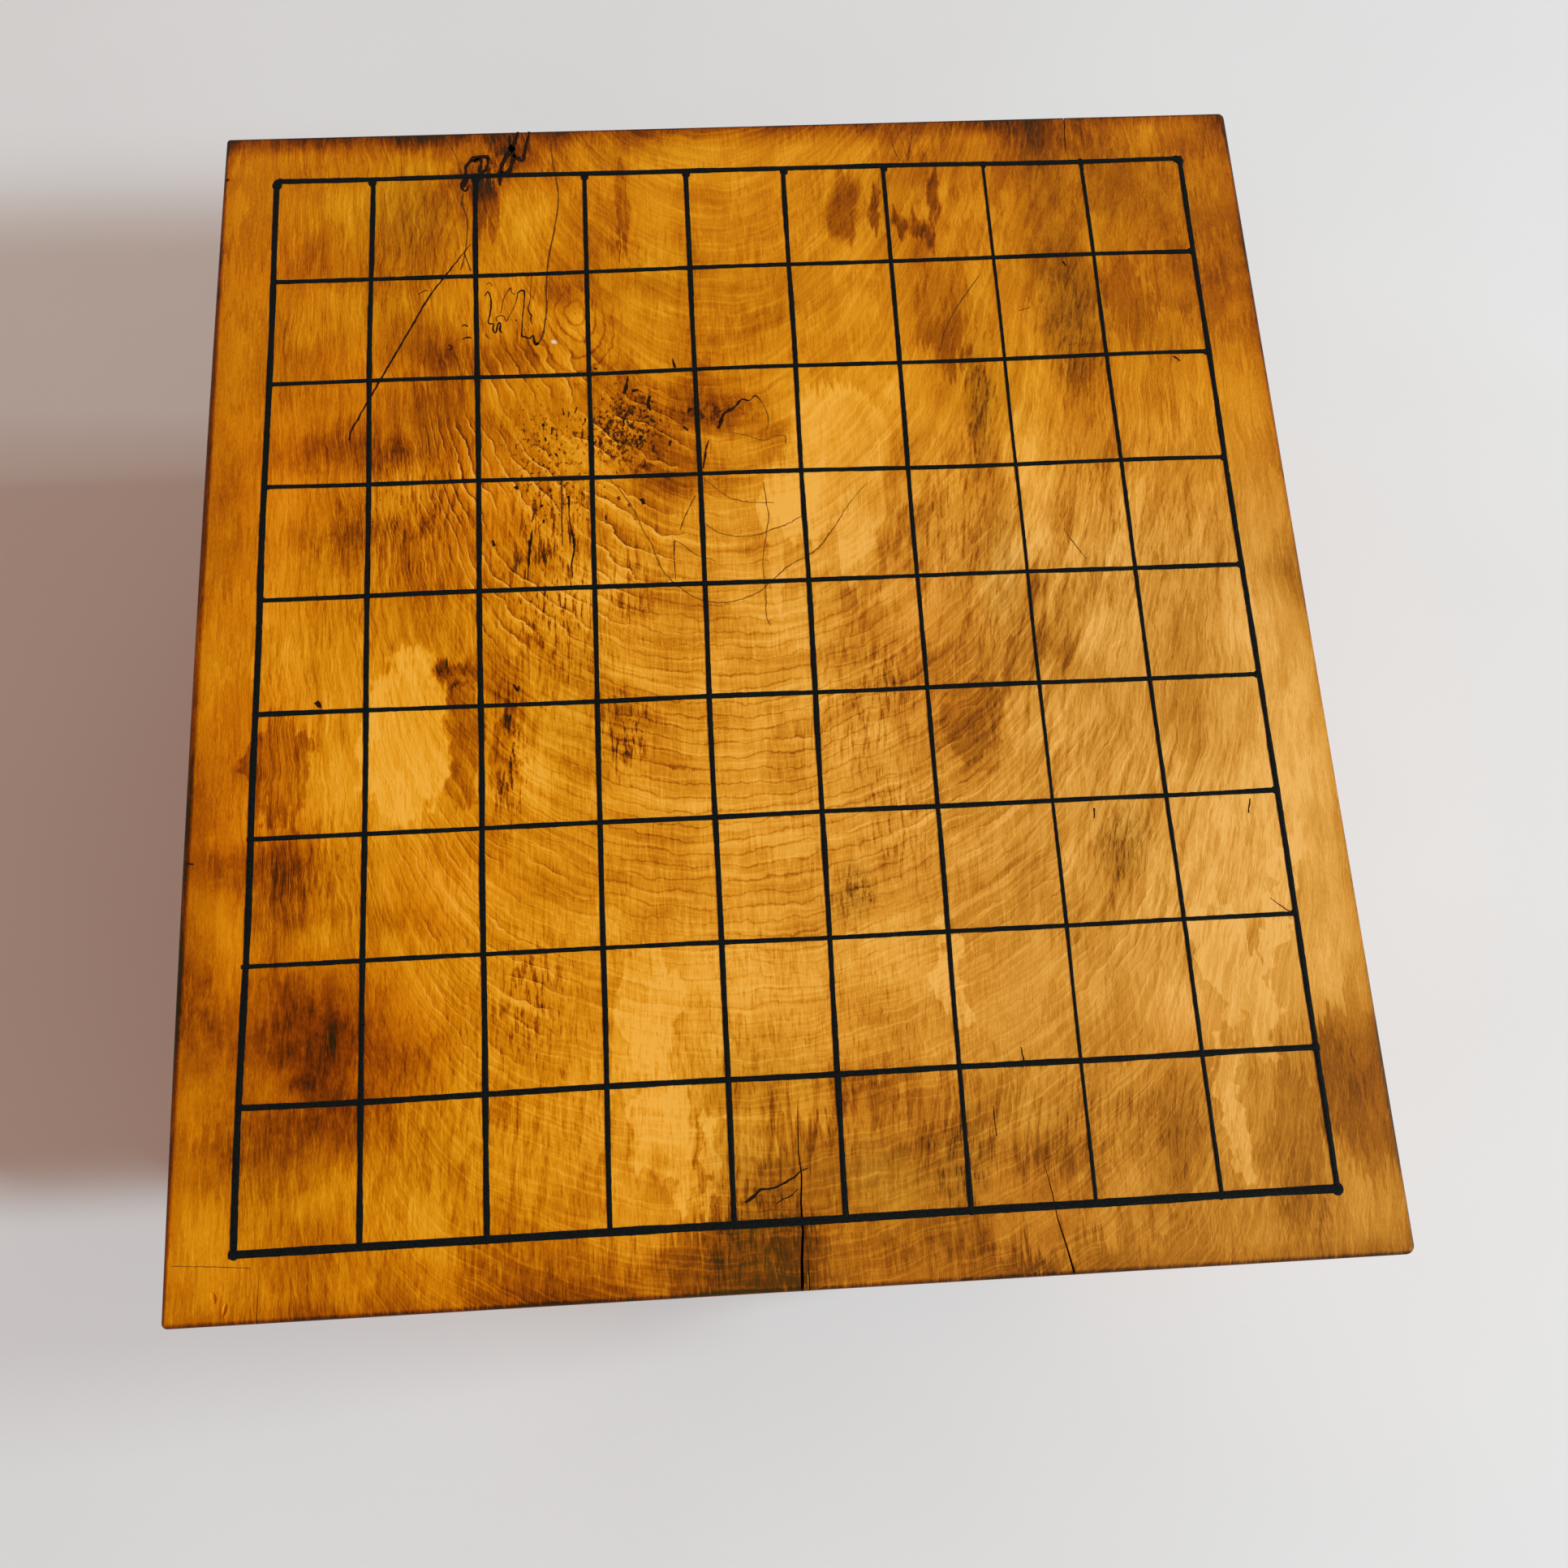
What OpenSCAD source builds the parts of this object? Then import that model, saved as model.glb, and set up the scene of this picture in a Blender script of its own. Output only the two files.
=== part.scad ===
// Shogi board on carved legs: one thick block of flat-sawn wood, a thin raised
// film of black lacquer lines on its top, and four legs whose round tenons push
// into mortises in its underside.
// The origin is on the floor under the middle of the block. +X runs across the
// grain, +Y along the grain and away from the player, and +Z up.

/* [Block] */
// Length of the block along the grain
board_length = 364; // [320:1:440]
// Width of the block across the grain
board_width = 326; // [290:1:400]
// Thickness of the block
block_thickness = 121; // [75:1:220]
// Radius of the softened edges all round the block
edge_radius = 1.5; // [0.5:0.1:5]

/* [Playing lines] */
// Squares along each side of the field
squares = 9; // [3:1:13]
// Wood left between a side of the block and the nearest border line
side_margin = 17.4; // [8:0.1:30]
// Wood left between an end of the block and the nearest border line
end_margin = 18; // [8:0.1:30]
// Width of a line between two squares
line_width = 1.4; // [0.6:0.1:3]
// Width of the heavier line round the field
border_width = 1.8; // [0.6:0.1:4]
// Height that the lacquer stands above the wood
lacquer_height = 0.2; // [0.1:0.05:0.5]

/* [Recess under the block] */
// Length of the recess along the grain
recess_length = 120; // [60:1:150]
// Width of the recess across the grain
recess_width = 105; // [60:1:130]
// Depth of the recess at its walls
recess_depth = 30; // [12:1:45]
// Wood between the tip of the pyramid and the underside of the block
pyramid_drop = 10; // [5:0.5:12]

/* [Legs] */
// Height of a leg, from the floor to the underside of the block
leg_height = 94; // [76:1:130]
// Width of a leg across its ribs, at its fullest
leg_diameter = 92; // [80:1:100]
// Distance from the ribs of a leg to the sides of the block above them
leg_setback = 6; // [2:0.5:14]
// Ribs round a leg
rib_count = 8; // [5:1:10]
// Depth of the hollows between the ribs, at the belly
rib_relief = 7; // [2:0.5:9]
// Height of the fullest part of a leg above the floor
belly_height = 58; // [44:1:64]
// How far the curve of the ankle is pulled in from the edge of the sole
ankle_pull = 9; // [0:0.5:14]
// Diameter of the sole that stands on the floor
sole_diameter = 58; // [46:1:66]
// Height of the sole's edge
sole_height = 4; // [2.5:0.5:7]
// Chamfer round the bottom of the sole
sole_chamfer = 1; // [0.5:0.25:2]
// Diameter of the neck that bears on the block
neck_diameter = 58; // [50:1:68]
// Height of the neck's upright edge
neck_height = 6; // [4:0.5:10]

/* [Tenons] */
// Diameter of the tenon on top of a leg
tenon_diameter = 32; // [20:1:40]
// Length of the tenon above the shoulder
tenon_length = 30; // [20:1:35]
// Chamfer round the end of the tenon
tenon_chamfer = 1.5; // [0.5:0.5:4]
// Gap between the tenon and the wall of its mortise, all round
tenon_clearance = 0.05; // [0.02:0.01:0.1]
// Room left in the mortise beyond the end of the tenon
mortise_room = 2; // [1:0.5:6]

/* [Hidden] */
$fn = 96;

wood_colour = "peru";
leg_colour = "sienna";
lacquer_colour = [0.05, 0.04, 0.04];

top_level = leg_height + block_thickness;
field_width = board_width - 2 * side_margin;
field_length = board_length - 2 * end_margin;
square_width = field_width / squares;
square_length = field_length / squares;

// How far a cut runs past the face that it opens, so that no skin is left
overcut = 1;

// Where the axes of the right-hand and back legs stand
leg_x = board_width / 2 - leg_setback - leg_diameter / 2;
leg_y = board_length / 2 - leg_setback - leg_diameter / 2;

// The carved body of a leg starts inside its sole and ends inside its neck
carving_inset = 1;
carving_low = sole_height - carving_inset;
carving_high = leg_height - neck_height + carving_inset;

// Where the curves of the side view are drawn to, as shares: up from the sole to
// the belly, up from the belly to the neck, and out from the neck to the belly
ankle_level = 0.3;
fullness_below = 0.55;
fullness_above = 0.45;
shoulder_reach = 0.75;

// Fineness of the carved surface: steps across a hollow, and rings below and
// above the belly
hollow_steps = 6;
rings_below = 13;
rings_above = 13;

// A rectangle about the origin with round corners
module rounded_rectangle(width, length, radius) {
    square([width - 2 * radius, length], center = true);
    square([width, length - 2 * radius], center = true);
    for (x = [-1, 1], y = [-1, 1])
        translate([x * (width / 2 - radius), y * (length / 2 - radius)])
            circle(r = radius);
}

// A bar with its middle at the origin and its long edges rounded
module rounded_bar(width, length, height, radius) {
    linear_extrude(height, center = true)
        rounded_rectangle(width, length, radius);
}

// A block about the origin with every edge rounded: what three bars share, one
// along each axis
module softened_block(width, length, height, radius) {
    intersection() {
        rounded_bar(width, length, height, radius);
        rotate([90, 0, 0]) rounded_bar(width, height, length, radius);
        rotate([0, 90, 0]) rounded_bar(height, length, width, radius);
    }
}

// Puts its children at each leg's place
module at_each_leg() {
    for (x = [-1, 1], y = [-1, 1])
        translate([x * leg_x, y * leg_y, 0]) children();
}

// A low pyramid on a rectangle: what two gabled prisms share, one along each axis
module pyramid(width, length, height) {
    intersection() {
        rotate([90, 0, 0])
            linear_extrude(length, center = true)
                polygon([[-width / 2, 0], [width / 2, 0], [0, height]]);
        rotate([90, 0, 90])
            linear_extrude(width, center = true)
                polygon([[-length / 2, 0], [length / 2, 0], [0, height]]);
    }
}

// The square hollow under the block, with the pyramid left standing in it
module recess() {
    difference() {
        translate([0, 0, recess_depth / 2 - overcut / 2])
            cube([recess_width, recess_length, recess_depth + overcut], center = true);
        translate([0, 0, recess_depth])
            mirror([0, 0, 1])
                pyramid(recess_width, recess_length, recess_depth - pyramid_drop);
    }
}

// A blind hole for one tenon
module mortise() {
    translate([0, 0, -overcut])
        cylinder(d = tenon_diameter + 2 * tenon_clearance,
                 h = tenon_length + mortise_room + overcut);
}

module block() {
    color(wood_colour)
        difference() {
            translate([0, 0, leg_height + block_thickness / 2])
                softened_block(board_width, board_length, block_thickness, edge_radius);
            translate([0, 0, leg_height]) {
                recess();
                at_each_leg() mortise();
            }
        }
}

// Every line of the field, from border to border, as one film
module playing_lines() {
    color(lacquer_colour)
        translate([0, 0, top_level])
            linear_extrude(lacquer_height) {
                for (i = [0:squares]) {
                    breadth = (i == 0 || i == squares) ? border_width : line_width;
                    translate([(i - squares / 2) * square_width, 0])
                        square([breadth, field_length + border_width], center = true);
                    translate([0, (i - squares / 2) * square_length])
                        square([field_width + border_width, breadth], center = true);
                }
            }
}

// A value at a share of the way from one to another
function mix(from, to, share) = from + (to - from) * share;

// A point at a share of the way along a cubic curve, from its four control points
function on_curve(control, share) =
    let (left = 1 - share)
    left ^ 3 * control[0] + 3 * left ^ 2 * share * control[1]
        + 3 * left * share ^ 2 * control[2] + share ^ 3 * control[3];

// The side view of the carving as [radius, height] points from sole to neck:
// an ankle that draws in, a full belly and a round shoulder. Sunk is how far the
// belly lies inside the crests of the ribs.
function side_view(sunk) =
    let (
        belly = leg_diameter / 2 - sunk,
        neck = neck_diameter / 2 - carving_inset,
        lower = [
            [sole_diameter / 2 - carving_inset, carving_low],
            [sole_diameter / 2 - ankle_pull, mix(carving_low, belly_height, ankle_level)],
            [belly, mix(carving_low, belly_height, fullness_below)],
            [belly, belly_height]
        ],
        upper = [
            [belly, belly_height],
            [belly, mix(belly_height, carving_high, fullness_above)],
            [mix(neck, belly, shoulder_reach), carving_high],
            [neck, carving_high]
        ]
    )
    concat(
        [for (j = [0:rings_below - 1]) on_curve(lower, j / rings_below)],
        [for (j = [0:rings_above]) on_curve(upper, j / rings_above)]
    );

// The ribbed body of a leg: rings that swing between the side view of a rib's
// crest and that of the hollow beside it, so that each rib comes to an edge
module carving() {
    around = rib_count * hollow_steps;
    crest = side_view(0);
    hollow = side_view(rib_relief);
    points = [
        for (j = [0:len(crest) - 1], i = [0:around - 1])
            let (
                angle = 360 * i / around,
                place = mix(crest[j], hollow[j], abs(sin(angle * rib_count / 2)))
            )
            [place.x * cos(angle), place.x * sin(angle), place.y]
    ];
    last = (len(crest) - 1) * around;
    faces = concat(
        [[for (i = [0:around - 1]) i]],
        [[for (i = [around - 1:-1:0]) last + i]],
        [
            for (j = [0:len(crest) - 2], i = [0:around - 1])
                let (a = j * around + i, b = j * around + (i + 1) % around)
                each [[a, a + around, b], [b, a + around, b + around]]
        ]
    );
    polyhedron(points, faces);
}

// The sole, neck and tenon, turned in one with the leg's axis
module turned_ends() {
    rotate_extrude()
        polygon([
            [0, 0],
            [sole_diameter / 2 - sole_chamfer, 0],
            [sole_diameter / 2, sole_chamfer],
            [sole_diameter / 2, sole_height],
            [0, sole_height]
        ]);
    translate([0, 0, leg_height - neck_height])
        cylinder(d = neck_diameter, h = neck_height);
    rotate_extrude()
        polygon([
            [0, leg_height - neck_height / 2],
            [tenon_diameter / 2, leg_height - neck_height / 2],
            [tenon_diameter / 2, leg_height + tenon_length - tenon_chamfer],
            [tenon_diameter / 2 - tenon_chamfer, leg_height + tenon_length],
            [0, leg_height + tenon_length]
        ]);
}

// One leg, at side -1 or 1 along X and end -1 or 1 along Y
module leg(side, end) {
    color(leg_colour)
        translate([side * leg_x, end * leg_y, 0]) {
            turned_ends();
            carving();
        }
}

block();
playing_lines();
leg(-1, -1);  // leg_front_left
leg(1, -1);  // leg_front_right
leg(-1, 1);  // leg_back_left
leg(1, 1);  // leg_back_right
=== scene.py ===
# %% [markdown]
# # A shogi board on four carved legs
# A shogi board is one thick block of wood on four carved legs, with its field drawn
# on the top in lacquer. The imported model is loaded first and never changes. Its
# plain solids could be given materials as they are, but wear, cracks and hand-drawn
# lines are shapes, so worn pieces are laid over them in the same frame. It is in
# metres: the origin is on the floor under the middle of the block, X runs across
# the grain and Y along it.

# %% Load the frame
import math

import bmesh
import bpy
from mathutils import Euler, Matrix, Vector, geometry, noise


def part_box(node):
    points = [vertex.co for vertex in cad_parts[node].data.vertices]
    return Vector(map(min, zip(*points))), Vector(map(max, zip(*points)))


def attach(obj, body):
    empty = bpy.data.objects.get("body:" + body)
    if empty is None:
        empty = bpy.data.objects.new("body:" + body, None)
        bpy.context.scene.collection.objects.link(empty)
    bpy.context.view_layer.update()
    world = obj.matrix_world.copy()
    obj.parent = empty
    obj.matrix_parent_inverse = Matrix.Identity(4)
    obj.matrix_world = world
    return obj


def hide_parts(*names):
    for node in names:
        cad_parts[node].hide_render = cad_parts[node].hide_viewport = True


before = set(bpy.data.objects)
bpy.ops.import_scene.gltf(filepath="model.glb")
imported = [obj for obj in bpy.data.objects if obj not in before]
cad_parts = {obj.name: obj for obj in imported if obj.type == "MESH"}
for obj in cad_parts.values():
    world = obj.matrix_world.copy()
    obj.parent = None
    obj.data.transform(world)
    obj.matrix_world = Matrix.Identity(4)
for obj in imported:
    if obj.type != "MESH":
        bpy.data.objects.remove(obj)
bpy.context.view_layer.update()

print("nodes", sorted(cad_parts))

# %% [markdown]
# ## The camera
# The photograph looks almost straight down from above the player's edge, so the
# top is all that it shows. A camera could be placed by eye, but this place, tilt
# and lens follow from the perspective of the lines on the board. The corners of the
# top then fall where the photograph has them, and all that is drawn later can be
# compared with it.

# %% Camera
camera_data = bpy.data.cameras.new("over_the_board")
camera_data.sensor_width = 36
camera_data.lens = 36.99
camera = bpy.data.objects.new("over_the_board", camera_data)
camera.location = (-0.01782, -0.18228, 0.65177)
camera.rotation_euler = Euler([math.radians(turn) for turn in (17.646, -1.787, -3.311)])
bpy.context.scene.collection.objects.link(camera)
bpy.context.scene.camera = camera
bpy.context.scene.view_settings.view_transform = "Standard"
print("camera height", round(camera.location.z, 3))

# %% [markdown]
# ## One way to write materials
# Shader maths is easier to read as sums than as boxes and wires. `Value` wraps a
# socket, and each operator on it adds the Math node that does the sum. `Nodes` is a
# tree of them, and its `node` method is the only other way that a node is made: its
# kind, then its settings, then what goes into its sockets. `Finish` is one material,
# with the few nodes that every wood below needs.

# %% Values
class Value:
    """A socket that can be written into sums."""

    def __init__(self, nodes, socket):
        self.nodes = nodes
        self.socket = socket

    def math(self, operation, *others, clamp=False):
        settings = {"operation": operation, "use_clamp": clamp}
        return self.nodes.node("Math", settings, dict(enumerate((self, *others))))

    def __add__(self, other):
        return self.math("ADD", other)

    def __sub__(self, other):
        return self.math("SUBTRACT", other)

    def __rsub__(self, other):
        return (self * -1).math("ADD", other)

    def __mul__(self, other):
        return self.math("MULTIPLY", other)

    def __truediv__(self, other):
        return self.math("DIVIDE", other)

    def __pow__(self, other):
        return self.math("POWER", other)

    def __abs__(self):
        return self.math("ABSOLUTE")

    __radd__ = __add__
    __rmul__ = __mul__


print("values can be written into sums")


# %% Trees of nodes
class Nodes:
    """A tree of nodes, and the one way to add to it."""

    def __init__(self, tree):
        self.tree = tree

    def node(self, kind, settings=None, inputs=None, output=0):
        node = self.tree.nodes.new("ShaderNode" + kind)
        for name, setting in (settings or {}).items():
            if name == "stops":
                self.set_stops(node.color_ramp, setting)
            else:
                setattr(node, name, setting)
        for name, value in (inputs or {}).items():
            self.feed(node.inputs[name], value)
        return Value(self, node.outputs[output])

    def feed(self, socket, value):
        if isinstance(value, Value):
            self.tree.links.new(value.socket, socket)
        else:
            socket.default_value = value

    def set_stops(self, ramp, stops):
        ramp.elements[0].position = stops[0][0]
        ramp.elements[1].position = stops[-1][0]
        for place, _ in stops[1:-1]:
            ramp.elements.new(place)
        for element, (_, colour) in zip(ramp.elements, stops):
            element.color = (*colour, 1)

    def outputs(self, kind, inputs=None):
        """Every output of one node, by name."""
        sockets = self.node(kind, inputs=inputs).socket.node.outputs
        return {socket.name: Value(self, socket) for socket in sockets}


print("one way to add a node")


# %% Finishes
class Finish(Nodes):
    """One material of nodes around a Principled shader."""

    def __init__(self, name):
        self.material = bpy.data.materials.new(name)
        self.material.use_nodes = True
        super().__init__(self.material.node_tree)
        self.shader = self.tree.nodes["Principled BSDF"]
        self.mm = self.scaled(self.node("TexCoord", output="Object"), 1000)
        self.x, self.y, self.z = self.split(self.mm)

    def shade(self, **values):
        for name, value in values.items():
            self.feed(self.shader.inputs[name.replace("_", " ")], value)

    def at(self, x, y, z):
        return self.node("CombineXYZ", inputs={0: x, 1: y, 2: z})

    def split(self, place):
        return self.outputs("SeparateXYZ", {0: place}).values()

    def scaled(self, place, factor):
        return self.node("VectorMath", {"operation": "SCALE"}, {0: place, 3: factor})

    def grain(self, place, detail=2, roughness=0.5, output=0):
        """Noise about 0.5 with features one unit of the place apart."""
        inputs = {"Vector": place, "Scale": 1, "Detail": detail, "Roughness": roughness}
        return self.node("TexNoise", inputs=inputs, output=output)

    def swing(self, x, y, z, detail, roughness):
        """Noise about zero, at a place given by three sums."""
        return self.grain(self.at(x, y, z), detail, roughness) - 0.5

    def ease(self, value, low, high):
        """0 below low, 1 above high and a smooth climb between."""
        settings = {"interpolation_type": "SMOOTHSTEP"}
        return self.node("MapRange", settings, {0: value, 1: low, 2: high, 3: 0, 4: 1})

    def spots(self, x, y, z, detail, roughness, low, high):
        """Where noise rises from low to high: 1 in the spots and 0 between them."""
        return self.ease(self.grain(self.at(x, y, z), detail, roughness), low, high)

    def ring_lines(self, field, spacing, width):
        """Thin lines where a field passes each multiple of a spacing."""
        phase = (field / spacing).math("FRACT")
        return self.ease(abs(phase - 0.5), 0.5 - width, 0.5)

    def ramp(self, stops, value):
        return self.node("ValToRGB", {"stops": stops}, {0: value})

    def bump(self, height, distance):
        return self.node("Bump", inputs={"Distance": distance, "Height": height})


print("finishes can be made")

# %% [markdown]
# ## Floor and light
# The board stands on a plain pale floor. Its shadow falls to the left, soft at the
# back and front and a little warm. One sun would give hard edges, so a large cool
# lamp stands to the front right, a smaller one to the right, and a dim warm world
# fills what they leave. The camera and clear reflections see that world as pale.

# %% Floor
floor_reach = 12
floor_shape = bmesh.new()
bmesh.ops.create_grid(floor_shape, x_segments=1, y_segments=1, size=floor_reach)
floor_mesh = bpy.data.meshes.new("floor")
floor_shape.to_mesh(floor_mesh)
floor_shape.free()
floor = bpy.data.objects.new("floor", floor_mesh)
bpy.context.scene.collection.objects.link(floor)

paving = Finish("pale_floor")
paving_tones = [(0.3, (0.77, 0.772, 0.785)), (0.7, (0.795, 0.80, 0.815))]
paving_smudge = paving.grain(paving.scaled(paving.mm, 0.006))
paving.shade(Base_Color=paving.ramp(paving_tones, paving_smudge))
paving.shade(Roughness=0.8, Specular_IOR_Level=0.1)
floor_mesh.materials.append(paving.material)
print("floor", 2 * floor_reach, "m wide")

# %% Lamps and world
lamp_target = Vector((0, 0, 0.2))


def lamp(name, place, size, power, colour):
    """A square soft lamp that faces the board."""
    data = bpy.data.lights.new(name, "AREA")
    data.size = size
    data.energy = power
    data.color = colour
    soft = bpy.data.objects.new(name, data)
    soft.location = place
    soft.rotation_euler = (Vector(place) - lamp_target).to_track_quat("Z", "Y").to_euler()
    bpy.context.scene.collection.objects.link(soft)


lamp("front_right_lamp", (4.5, -1.95, 3.3), 0.75, 306, (0.70, 0.92, 1.0))
lamp("right_lamp", (4.4, 0.08, 2.2), 0.45, 80, (0.85, 1.0, 1.0))

world = bpy.data.worlds.new("room")
world.use_nodes = True
bpy.context.scene.world = world
room = Nodes(world.node_tree)
rays = room.outputs("LightPath")
seen = rays["Is Camera Ray"]
for kind in ("Is Glossy Ray", "Is Transmission Ray"):
    seen = seen.math("MAXIMUM", rays[kind])
dim_wall = (0.44, 0.30, 0.24, 1)
pale_wall = (0.74, 0.735, 0.73, 1)
wall = room.node("Mix", {"data_type": "RGBA"}, {0: seen, 6: dim_wall, 7: pale_wall}, output=2)
room.feed(room.tree.nodes["Background"].inputs[0], wall)

# %% [markdown]
# ## Sizes
# The outer sizes could be typed in again, but then they could drift apart from the
# model's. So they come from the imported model's boxes, and the worn pieces stay
# exactly where the plain solids are. All else is in millimetres, times `mm`.

# %% Sizes from the frame
block_low, block_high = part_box("block")
top = block_high.z
underside = block_low.z
half_width = block_high.x
half_length = block_high.y
film_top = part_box("playing_lines")[1].z
leg_low, leg_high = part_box("leg_front_right")
leg_centre = (leg_low + leg_high) / 2
leg_width = leg_high.x - leg_low.x
mm = 0.001
print("block", round(half_width / mm, 1), round(half_length / mm, 1), round(top / mm, 1))


def new_piece(name, shape, *finishes):
    """Turns a finished bmesh into an object of its own."""
    mesh = bpy.data.meshes.new(name)
    shape.to_mesh(mesh)
    shape.free()
    piece = bpy.data.objects.new(name, mesh)
    bpy.context.scene.collection.objects.link(piece)
    for finish in finishes:
        mesh.materials.append(finish.material)
    return piece


# %% [markdown]
# ## The block
# The real block was sawn from one log and planed. It is nearly a plain box, and
# what makes it real is how it departs from one: the left side bows out by about a
# millimetre, each upright edge was rounded by hand to its own radius, and wear has
# softened every arris. A Bevel modifier would round them all alike, so a cube is
# cut across a few times to let it bow, its upright edges are bevelled one by one,
# and then its top and bottom rims.

# %% The bowed block
block = bmesh.new()
bmesh.ops.create_cube(block, size=1)
bmesh.ops.scale(block, vec=block_high - block_low, verts=block.verts)
bmesh.ops.translate(block, vec=(block_high + block_low) / 2, verts=block.verts)

cuts_along = 14
for cut in range(1, cuts_along):
    bmesh.ops.bisect_plane(
        block,
        geom=block.verts[:] + block.edges[:] + block.faces[:],
        plane_co=(0, half_length * (2 * cut / cuts_along - 1), 0),
        plane_no=(0, 1, 0),
    )
left_bow = 1.2 * mm
for vert in block.verts:
    if vert.co.x < 0:
        vert.co.x -= left_bow * (1 - (vert.co.y / half_length) ** 2)


def round_over(edges, radius, segments):
    bmesh.ops.bevel(
        block, geom=edges, offset=radius, offset_type="OFFSET", segments=segments,
        profile=0.5, affect="EDGES", material=-1,
    )


def at_corner(vert, side, end):
    return vert.co.x * side > half_width * 0.99 and vert.co.y * end > half_length * 0.999


corner_radii = {(-1, -1): 1.5, (1, -1): 2.4, (-1, 1): 1.2, (1, 1): 2.0}
for corner, radius in corner_radii.items():
    upright = [e for e in block.edges if all(at_corner(v, *corner) for v in e.verts)]
    round_over(upright, radius * mm, 5)

arris_radius = 1.1 * mm
rim = [
    edge for edge in block.edges
    if len(edge.link_faces) == 2
    and sorted(round(abs(face.normal.z)) for face in edge.link_faces) == [0, 1]
]
round_over(rim, arris_radius, 4)
worn_block = new_piece("worn_block", block)
print("block faces", len(worn_block.data.polygons))

# %% [markdown]
# ## Cuts in the block
# Under a legged board there is a square recess with a low pyramid left in it, and
# four round mortises for the tenons. The top has drying cracks that open towards
# the ends of the log, and a few dents. Faces could be drawn round each by hand, but
# every one is a small tool shape here, and the Boolean modifier cuts the block with
# them, which keeps the flat faces flat.

# %% Tools for the underside
tools = bmesh.new()
recess_width = 105 * mm
recess_length = 120 * mm
recess_depth = 30 * mm
pyramid_drop = 10 * mm
overcut = 1 * mm
recess = bmesh.ops.create_cube(tools, size=1)["verts"]
bmesh.ops.scale(tools, vec=(recess_width, recess_length, recess_depth + overcut), verts=recess)
bmesh.ops.translate(tools, vec=(0, 0, underside + (recess_depth - overcut) / 2), verts=recess)
ceiling = [face for face in tools.faces if face.normal.z > 0.5]
tip = bmesh.ops.poke(tools, faces=ceiling)["verts"]
bmesh.ops.translate(tools, vec=(0, 0, pyramid_drop - recess_depth), verts=tip)

tenon_length = leg_high.z - underside
mortise_radius = 16.05 * mm
mortise_depth = tenon_length + 2 * mm
mortise_middle = underside + (mortise_depth - overcut) / 2
for side in (-1, 1):
    for end in (-1, 1):
        centre = (side * leg_centre.x, end * abs(leg_centre.y), mortise_middle)
        bmesh.ops.create_cone(
            tools, cap_ends=True, segments=72, radius1=mortise_radius,
            radius2=mortise_radius, depth=mortise_depth + overcut,
            matrix=Matrix.Translation(centre),
        )
underside_tools = new_piece("underside_tools", tools)
print("mortise depth", round(mortise_depth / mm, 1))


# %% Bars and wedges
def add_bar(shape, steps, place, crown=False):
    """Adds a bar of so many steps; place(step, side, upper) says where each corner goes."""
    bar = bmesh.new()
    bmesh.ops.create_cube(bar, size=1)
    lengthways = [e for e in bar.edges if abs(e.verts[0].co.x - e.verts[1].co.x) > 0.5]
    bmesh.ops.subdivide_edges(bar, edges=lengthways, cuts=steps - 1, use_grid_fill=True)
    if crown:
        crosswise = [e for e in bar.edges if abs(e.verts[0].co.y - e.verts[1].co.y) > 0.5]
        bmesh.ops.subdivide_edges(bar, edges=crosswise, cuts=1, use_grid_fill=True)
    for vert in bar.verts:
        step = round((vert.co.x + 0.5) * steps)
        vert.co = place(step, vert.co.y * 2, vert.co.z > 0)
    bmesh.ops.recalc_face_normals(bar, faces=bar.faces)
    joined = bpy.data.meshes.new("bar")
    bar.to_mesh(joined)
    bar.free()
    shape.from_mesh(joined)
    bpy.data.meshes.remove(joined)


def beside(path, step):
    """The sideways direction at a point of a path."""
    before = Vector(path[max(step - 1, 0)][:2])
    after = Vector(path[min(step + 1, len(path) - 1)][:2])
    return (after - before).normalized().orthogonal()


def crack(shape, path):
    """A wedge along a path of (x, y, width, depth) in millimetres, open at the top."""
    def place(step, side, upper):
        x, y, width, depth = path[step]
        share = side * width * (0.51 if upper else 0.06)
        height = top / mm + 0.2 if upper else top / mm - depth
        across = beside(path, step)
        return Vector((x + across.x * share, y + across.y * share, height)) * mm

    add_bar(shape, len(path) - 1, place)


print("bars and wedges can be cut")


# %% Tools for cracks and dents
def on_top(x, y, turn):
    """A place on the top, in millimetres and degrees."""
    return Matrix.Translation((x * mm, y * mm, top)) @ Matrix.Rotation(math.radians(turn), 4, "Z")


def dent(shape, x, y, width, length, depth, turn=0):
    """A shallow hollow in the top."""
    size = Matrix.Diagonal((width * mm / 2, length * mm / 2, depth * mm, 1))
    bmesh.ops.create_icosphere(shape, subdivisions=2, radius=1, matrix=on_top(x, y, turn) @ size)


# Each crack as (x, y, width, depth) points, from its tip to the end of the block
cracks = [
    [(2.3, -133, 0.05, 0.2), (2.0, -140, 0.25, 3), (1.7, -147, 0.35, 6), (2.2, -153, 0.4, 9),
     (1.6, -160, 0.5, 12), (1.7, -167, 0.6, 16), (1.0, -174, 0.75, 22), (0.6, -184, 0.95, 40)],
    [(2.7, -168, 0.05, 0.2), (2.6, -175, 0.2, 2), (2.5, -184, 0.3, 5)],
    [(66.2, -149, 0.05, 0.2), (67.2, -155, 0.2, 2), (68.2, -161, 0.3, 5),
     (69.0, -168, 0.35, 8), (70.6, -175, 0.5, 12), (72.3, -184, 0.7, 22)],
    [(108.3, 167, 0.05, 0.2), (108.6, 171, 0.25, 3), (109.0, 176, 0.3, 6), (109.6, 184, 0.4, 12)],
    [(-138.9, -164, 0.05, 0.2), (-138.7, -170, 0.15, 2), (-138.8, -177, 0.2, 4),
     (-138.9, -184, 0.25, 8)],
]
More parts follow.
